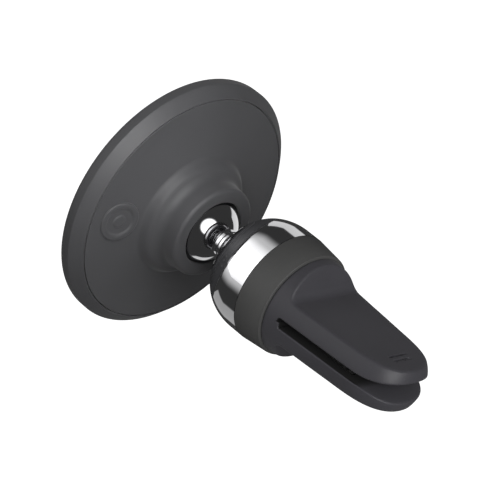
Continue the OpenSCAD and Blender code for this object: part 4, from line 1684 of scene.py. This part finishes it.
@dataclass
class JawGrip:
    """Ribbed rubber insert in the slot: a plate with half-round ribs across it."""

    side: Side
    plate_x: float = 14.2
    plate_y: float = 16.0
    plate_t: float = 0.45
    start_y: float = 3.0
    face_z: float = 1.09
    rib_r: float = 0.35
    rib_count: int = 9
    rib_pitch: float = 1.8
    first_rib: float = 0.8

    def build(self) -> bpy.types.Object:
        """Makes the insert: one rib copied along a line, on a plate with rounded corners.

        Returns:
            The insert, riding on its jaw.
        """
        sizes = {
            "Width": self.plate_x * MM, "Length": self.plate_y * MM, "Thickness": self.plate_t * MM,
            "Corner": 0.8 * MM, "Rib Radius": self.rib_r * MM, "Rib Count": float(self.rib_count),
            "Rib Pitch": self.rib_pitch * MM, "First Rib": self.first_rib * MM,
        }
        tree = GeoTree(f"{self.side.word}_grip_tree", sizes)
        sheet = tree.add(
            "GeometryNodeCurvePrimitiveQuadrilateral", {"mode": "RECTANGLE"},
            {"Width": tree.size("Width"), "Height": tree.size("Length")},
        )
        rounded = tree.add(
            "GeometryNodeFilletCurve", {"mode": "POLY"},
            {"Curve": sheet.outputs["Curve"], "Count": 6, "Radius": tree.size("Corner")},
        )
        filled = tree.add("GeometryNodeFillCurve", {"mode": "NGONS"}, {"Curve": rounded.outputs[0]})
        raised = tree.add(
            "GeometryNodeExtrudeMesh", {"mode": "FACES"},
            {"Mesh": filled.outputs[0], "Offset": (0.0, 0.0, 1.0), "Offset Scale": tree.size("Thickness")},
        )
        bottom = tree.add("GeometryNodeFlipFaces", {}, {"Mesh": filled.outputs[0]})
        rib = tree.add(
            "GeometryNodeMeshCylinder", {},
            {"Vertices": 20, "Radius": tree.size("Rib Radius"),
             "Depth": tree.math("SUBTRACT", tree.size("Width"), 0.3 * MM)},
        )
        laid = tree.add(
            "GeometryNodeTransform", {},
            {"Geometry": rib.outputs["Mesh"], "Rotation": (0.0, math.pi / 2, 0.0)},
        )
        count = tree.add("FunctionNodeFloatToInt", {}, {0: tree.size("Rib Count")}).outputs[0]
        half = tree.math("MULTIPLY", tree.size("Length"), -0.5)
        line = tree.add(
            "GeometryNodeMeshLine", {},
            {"Count": count, "Start Location": tree.vector(y=tree.math("ADD", half, tree.size("First Rib"))),
             "Offset": tree.vector(y=tree.size("Rib Pitch"))},
        )
        row = {"Points": line.outputs["Mesh"], "Instance": laid.outputs[0]}
        ribs = tree.add("GeometryNodeInstanceOnPoints", {}, row)
        joined = tree.add("GeometryNodeJoinGeometry", {}, {})
        for part in (ribs.outputs["Instances"], bottom.outputs[0], raised.outputs["Mesh"]):
            tree.tree.links.new(part, joined.inputs[0])
        tree.finish(joined.outputs[0], Finishes.grip)
        middle = (self.start_y + self.plate_y / 2) * MM
        place = Matrix.Diagonal((1.0, 1.0, float(self.side.value), 1.0)) @ Matrix.Translation(
            (0.0, middle, self.face_z * MM)
        )
        insert = tree.run(f"{self.side.word}_grip_ribs", Finishes.grip, place)
        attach(insert, self.side.body.value)
        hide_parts(f"{self.side.word}_grip")
        return insert


@dataclass
class ClipHardware:
    """Steel parts inside the clip: the clamp spring and the two core screws."""

    places: Places
    coil_r: float = 1.7
    wire_r: float = 0.28
    turns: float = 5.0
    spring_y: float = -6.5
    spring_half: float = 1.67
    screw_z: float = 9.3
    screw_head_r: float = 1.5
    screw_head_t: float = 1.15
    screw_shank_r: float = 0.82

    def spring(self) -> bpy.types.Object:
        """Clamp spring: a round wire swept along a spiral."""
        sizes = {
            "Coil Radius": self.coil_r * MM, "Wire Radius": self.wire_r * MM, "Turns": self.turns,
            "Height": 2 * self.spring_half * MM,
        }
        tree = GeoTree("clamp_spring_tree", sizes)
        spiral = tree.add(
            "GeometryNodeCurveSpiral", {},
            {"Resolution": 40, "Rotations": tree.size("Turns"), "Start Radius": tree.size("Coil Radius"),
             "End Radius": tree.size("Coil Radius"), "Height": tree.size("Height")},
        )
        wire = tree.add(
            "GeometryNodeCurvePrimitiveCircle", {"mode": "RADIUS"},
            {"Resolution": 14, "Radius": tree.size("Wire Radius")},
        )
        swept = tree.add(
            "GeometryNodeCurveToMesh", {},
            {"Curve": spiral.outputs["Curve"], "Profile Curve": wire.outputs["Curve"], "Fill Caps": True},
        )
        tree.finish(swept.outputs["Mesh"], Finishes.spring)
        place = Matrix.Translation((0.0, self.spring_y * MM, -self.spring_half * MM))
        return tree.run("clamp_spring_coil", Finishes.spring, place)

    def screws(self) -> bpy.types.Object:
        """Core screws: a socket head and a shank, copied above and below the axis."""
        p = self.places
        head_y, end_y = -6.35, p.band_front_y - 3.4
        sizes = {
            "Spread": 2 * self.screw_z * MM, "Head Radius": self.screw_head_r * MM,
            "Head Thickness": self.screw_head_t * MM,
            "Shank Radius": self.screw_shank_r * MM, "Shank Length": (head_y - end_y) * MM,
        }
        tree = GeoTree("core_screw_tree", sizes)
        head = tree.add(
            "GeometryNodeMeshCylinder", {},
            {"Vertices": 28, "Radius": tree.size("Head Radius"), "Depth": tree.size("Head Thickness")},
        )
        shank = tree.add(
            "GeometryNodeMeshCylinder", {},
            {"Vertices": 20, "Radius": tree.size("Shank Radius"), "Depth": tree.size("Shank Length")},
        )
        full_length = tree.math("ADD", tree.size("Head Thickness"), tree.size("Shank Length"))
        drop = tree.math("MULTIPLY", full_length, -0.5)
        lowered = tree.add(
            "GeometryNodeTransform", {},
            {"Geometry": shank.outputs["Mesh"], "Translation": tree.vector(z=drop)},
        )
        both = tree.add("GeometryNodeJoinGeometry", {}, {})
        for part in (head.outputs["Mesh"], lowered.outputs[0]):
            tree.tree.links.new(part, both.inputs[0])
        line = tree.add(
            "GeometryNodeMeshLine", {},
            {"Count": 2, "Start Location": tree.vector(y=tree.math("MULTIPLY", tree.size("Spread"), -0.5)),
             "Offset": tree.vector(y=tree.size("Spread"))},
        )
        pair = tree.add(
            "GeometryNodeInstanceOnPoints", {}, {"Points": line.outputs["Mesh"], "Instance": both.outputs[0]}
        )
        tree.finish(pair.outputs["Instances"], Finishes.screw)
        middle = (head_y + self.screw_head_t / 2) * MM
        place = Matrix.Translation((0.0, middle, 0.0)) @ Matrix.Rotation(math.radians(-90.0), 4, "X")
        return tree.run("core_screw_pair", Finishes.screw, place)

    def build(self) -> list[bpy.types.Object]:
        """Makes the steel parts.

        Returns:
            The pieces, riding on the clip.
        """
        made = {"clamp_spring": self.spring(), "core_screws": self.screws()}
        for node, obj in made.items():
            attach(obj, Body.CLIP.value)
            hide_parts(node)
        return list(made.values())


@dataclass
class VentClip:
    """The clip: two half skins, the ribbed inserts and the steel parts inside."""

    places: Places

    def build(self) -> list[bpy.types.Object]:
        """Makes the clip.

        Returns:
            Every piece of the clip.
        """
        made = []
        for side in Side:
            skin = ClipSkin(ClipForm(self.places, side)).build()
            nodes = ["upper_sleeve", "root_sleeve"] if side is Side.UPPER else ["lower_sleeve"]
            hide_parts(*nodes)
            made += [skin, JawGrip(side).build()]
        return made + ClipHardware(self.places).build()


# ------------------------------------------------------------------ studio


@dataclass(frozen=True)
class Softbox:
    """One area light: the direction that it stands in, its distance and its panel in metres."""

    name: str
    toward: tuple[float, float, float]
    upright: tuple[float, float, float]
    width: float
    height: float
    brightness: float
    fall: float = 0.0
    is_round: bool = False
    only: str = ""
    distance: float = 1.0

    @classmethod
    def about_axis(
        cls, name: str, turn: float, turn_half: float, tilt: tuple[float, float], brightness: float,
        fall: float, only: str = "",
    ) -> "Softbox":
        """A panel placed by its angles about the clip axis, as seen from the object.

        Args:
            name: The light's name.
            turn: Angle of its middle about the axis in degrees, from +X towards +Z.
            turn_half: Half of the angle that it covers about the axis.
            tilt: Angles of its near and far edges from -Y.
            brightness: Radiance of the panel.
            fall: Share of each half over which the brightness falls off to the sides.
            only: Name of the group of pieces that it lights, or nothing for all.

        Returns:
            The softbox.
        """
        middle, half = math.radians(sum(tilt) / 2), math.radians(tilt[1] - tilt[0]) / 2
        angle = math.radians(turn)
        toward = (math.sin(middle) * math.cos(angle), -math.cos(middle), math.sin(middle) * math.sin(angle))
        upright = (math.cos(middle) * math.cos(angle), math.sin(middle), math.cos(middle) * math.sin(angle))
        width = 2.0 * math.sin(middle) * math.tan(math.radians(turn_half))
        height = 2.0 * math.tan(half)
        return cls(name, toward, upright, width, height, brightness, fall, only=only)

    def _soften(self, data: bpy.types.AreaLight) -> None:
        """Makes the panel's brightness fall off towards its two sides, or all round.

        Args:
            data: The light's data.
        """
        data.use_nodes = True
        tree = data.node_tree
        shine = next(n for n in tree.nodes if n.type == "EMISSION")
        spot = tree.nodes.new("ShaderNodeNewGeometry")
        value = spot.outputs["Parametric"]
        both = 1.0 if self.is_round else 0.0
        steps = (("SUBTRACT", (0.5, 0.5, 0.0)), ("MULTIPLY", (1.0, both, 0.0)), ("LENGTH", None))
        for operation, operand in steps:
            step = tree.nodes.new("ShaderNodeVectorMath")
            step.operation = operation
            if operand:
                step.inputs[1].default_value = operand
            tree.links.new(value, step.inputs[0])
            value = step.outputs["Value" if operation == "LENGTH" else "Vector"]
        steps = (("MULTIPLY", -2.0), ("ADD", 1.0), ("DIVIDE", self.fall))
        for operation, operand in steps:
            step = tree.nodes.new("ShaderNodeMath")
            step.operation = operation
            step.inputs[1].default_value = operand
            tree.links.new(value, step.inputs[0])
            value = step.outputs[0]
        eased = tree.nodes.new("ShaderNodeMapRange")
        eased.interpolation_type = "SMOOTHSTEP"
        tree.links.new(value, eased.inputs["Value"])
        tree.links.new(eased.outputs[0], shine.inputs["Strength"])

    def build(self, centre: Vector) -> bpy.types.Object:
        """Makes the light, facing the object and hidden from the camera itself.

        Args:
            centre: The point that it faces.

        Returns:
            The light.
        """
        data = bpy.data.lights.new(self.name, "AREA")
        data.shape = "ELLIPSE" if self.is_round else "RECTANGLE"
        data.size, data.size_y = self.width, self.height
        area = self.width * self.height * (math.pi / 4 if self.is_round else 1.0)
        data.energy = self.brightness * math.pi * area
        if self.fall > 0.0:
            self._soften(data)
        light = bpy.data.objects.new(self.name, data)
        bpy.context.scene.collection.objects.link(light)
        back = Vector(self.toward).normalized()
        across = Vector(self.upright).cross(back).normalized()
        up = back.cross(across)
        turn = Matrix((across, up, back)).transposed()
        light.matrix_world = Matrix.Translation(centre + back * self.distance) @ turn.to_4x4()
        light.visible_camera = False
        return light


@dataclass
class Studio:
    """Pale floor far below, soft panels round the object, and the camera."""

    aim: tuple[float, float, float] = (0.35, -22.69, 2.84)
    azimuth: float = 127.88
    elevation: float = 25.87
    roll: float = 20.09
    distance: float = 547.2
    lens: float = 180.0
    floor_drop: float = 0.75
    floor_half: float = 6.0
    fill_toward: tuple[float, float, float] = (0.3, 0.85, 0.2)
    fill_dark: float = 0.25
    fill_bright: float = 0.5
    gloss_fill: float = 0.07
    key_step: float = 22.0
    key_turns: tuple[float, ...] = (-11.0, 11.0, 33.0, 55.0, 77.0)
    key_glow: tuple[float, ...] = (0.9, 1.9, 2.6, 1.9, 0.9)

    panels: tuple[Softbox, ...] = (
        Softbox(
            "front_panel", (0.34, 0.86, 0.36), (0.0, -0.4, 0.9), 1.15, 1.05, 4.2, fall=0.4, is_round=True,
        ),
        Softbox("side_panel", (0.75, -0.45, 0.25), (0.2, 0.2, 0.9), 0.9, 0.9, 0.8),
        Softbox(
            "rim_panel", (0.667, 0.074, 0.741), (0.0, 1.0, 0.0), 0.045, 0.045, 9.0,
            only="head", distance=0.0675,
        ),
        Softbox.about_axis("right_panel", 148.0, 17.0, (40.0, 62.0), 1.0, 0.25, "mirrors"),
        Softbox.about_axis("back_panel", 186.0, 28.0, (58.0, 108.0), 1.1, 0.3, "mirrors"),
        Softbox.about_axis("low_panel", -88.0, 23.0, (41.0, 60.0), 0.5, 0.25, "mirrors"),
        Softbox.about_axis("under_panel", -113.0, 18.0, (58.0, 94.0), 0.9, 0.3, "mirrors"),
    )

    def key_fold(self) -> list[Softbox]:
        """The key light: overlapping panels in a fold about the clip axis, brightest in the middle.

        Returns:
            The panels, each fading into its neighbours.
        """
        return [
            Softbox.about_axis(f"key_panel_{i}", turn, self.key_step, (36.0, 76.0), glow, 1.0, "mirrors")
            for i, (turn, glow) in enumerate(zip(self.key_turns, self.key_glow))
        ]

    def floor(self) -> bpy.types.Object:
        """Plain pale floor, kept out of mirror reflections."""
        h = self.floor_half
        mesh = bpy.data.meshes.new("studio_floor")
        z = CAD_LOW.z - self.floor_drop
        mesh.from_pydata([(-h, -h, z), (h, -h, z), (h, h, z), (-h, h, z)], [], [(0, 1, 2, 3)])
        graph = Graph("studio_floor")
        values = {
            "Base Color": (0.6, 0.6, 0.6, 1.0), "Roughness": 0.9,
            "Emission Color": (1.0, 1.0, 1.0, 1.0), "Emission Strength": 0.95,
        }
        mesh.materials.append(graph.finish(graph.node("ShaderNodeBsdfPrincipled", {}, values)))
        obj = bpy.data.objects.new("studio_floor", mesh)
        bpy.context.scene.collection.objects.link(obj)
        obj.visible_glossy = False
        obj.visible_diffuse = False
        obj.visible_shadow = False
        return obj

    def world(self) -> None:
        """Pale surroundings for the eye, a graded fill for matt faces, and near-dark for mirrors."""
        world = bpy.data.worlds.new("studio_world")
        world.use_nodes = True
        tree = world.node_tree
        tree.nodes.clear()
        path = tree.nodes.new("ShaderNodeLightPath")
        background = tree.nodes.new("ShaderNodeBackground")
        output = tree.nodes.new("ShaderNodeOutputWorld")
        where = tree.nodes.new("ShaderNodeTexCoord")
        facing = tree.nodes.new("ShaderNodeVectorMath")
        facing.operation = "DOT_PRODUCT"
        facing.inputs[1].default_value = Vector(self.fill_toward).normalized()
        fill = tree.nodes.new("ShaderNodeMapRange")
        fill.inputs["From Min"].default_value = -1.0
        fill.inputs["To Min"].default_value = self.fill_dark
        fill.inputs["To Max"].default_value = self.fill_bright
        lift = tree.nodes.new("ShaderNodeMix")
        dim = tree.nodes.new("ShaderNodeMix")
        dim.inputs[3].default_value = self.gloss_fill
        lift.inputs[3].default_value = 1.0
        tree.links.new(where.outputs["Generated"], facing.inputs[0])
        tree.links.new(facing.outputs["Value"], fill.inputs["Value"])
        tree.links.new(fill.outputs[0], dim.inputs[2])
        tree.links.new(path.outputs["Is Glossy Ray"], dim.inputs[0])
        tree.links.new(path.outputs["Is Camera Ray"], lift.inputs[0])
        tree.links.new(dim.outputs[0], lift.inputs[2])
        tree.links.new(lift.outputs[0], background.inputs["Strength"])
        tree.links.new(background.outputs[0], output.inputs["Surface"])
        bpy.context.scene.world = world

    def camera(self) -> bpy.types.Object:
        """The camera, at a long lens and rolled so that the clip runs down to the right."""
        data = bpy.data.cameras.new("studio_camera")
        data.lens = self.lens
        data.sensor_width = 36.0
        data.clip_start, data.clip_end = 0.01, 100.0
        camera = bpy.data.objects.new("studio_camera", data)
        bpy.context.scene.collection.objects.link(camera)
        a, e = math.radians(self.azimuth), math.radians(self.elevation)
        back = Vector((math.sin(a) * math.cos(e), -math.cos(a) * math.cos(e), math.sin(e)))
        camera.rotation_mode = "QUATERNION"
        level = (-back).to_track_quat("-Z", "Y").to_matrix()
        turn = level @ Matrix.Rotation(math.radians(self.roll), 3, "Z")
        camera.rotation_quaternion = turn.to_quaternion()
        camera.location = Vector(self.aim) * MM + back * self.distance * MM
        bpy.context.scene.camera = camera
        return camera

    def build(self, groups: dict[str, Sequence[bpy.types.Object]]) -> None:
        """Sets up the whole studio.

        Args:
            groups: Pieces by the name of their group, for the panels that light only one group.
        """
        self.floor()
        self.world()
        lit = {}
        for name, pieces in groups.items():
            lit[name] = bpy.data.collections.new(f"lit_{name}")
            for piece in pieces:
                lit[name].objects.link(piece)
        centre = (CAD_LOW + CAD_HIGH) / 2
        for panel in (*self.key_fold(), *self.panels):
            light = panel.build(centre)
            if panel.only:
                light.light_linking.receiver_collection = lit[panel.only]
        self.camera()
        bpy.context.scene.view_settings.view_transform = "Standard"


# ------------------------------------------------------------------ assembly


def report(what: str, pieces: Iterable[bpy.types.Object]) -> None:
    """Logs each piece of a sub-assembly with its size.

    Args:
        what: The sub-assembly's name.
        pieces: Its pieces.
    """
    for piece in pieces:
        size = ", ".join(f"{d / MM:.1f}" for d in piece.dimensions)
        LOG.info("%s: %s, %s mm, %d faces", what, piece.name, size, len(piece.data.polygons))


def main() -> None:
    """Builds every sub-assembly and the studio, and reports the pieces."""
    logging.basicConfig(level=logging.INFO, format="%(name)s %(message)s")
    places = Places.from_frame()
    LOG.info("stations: %s", places)
    head = DiscHead(places).build()
    report("disc head", head)
    report("head hardware", HeadHardware(places).build())
    mirrors = BallStud(places).build() + Dome(places).build()
    report("ball joint and dome", mirrors)
    report("trim band", TrimBand(places).build())
    report("vent clip", VentClip(places).build())
    LOG.info("carried nodes dressed: %d", Finishes.dress_carried())
    Studio().build({"mirrors": mirrors, "head": head})
    bpy.context.view_layer.update()


if __name__ == "__main__":
    main()
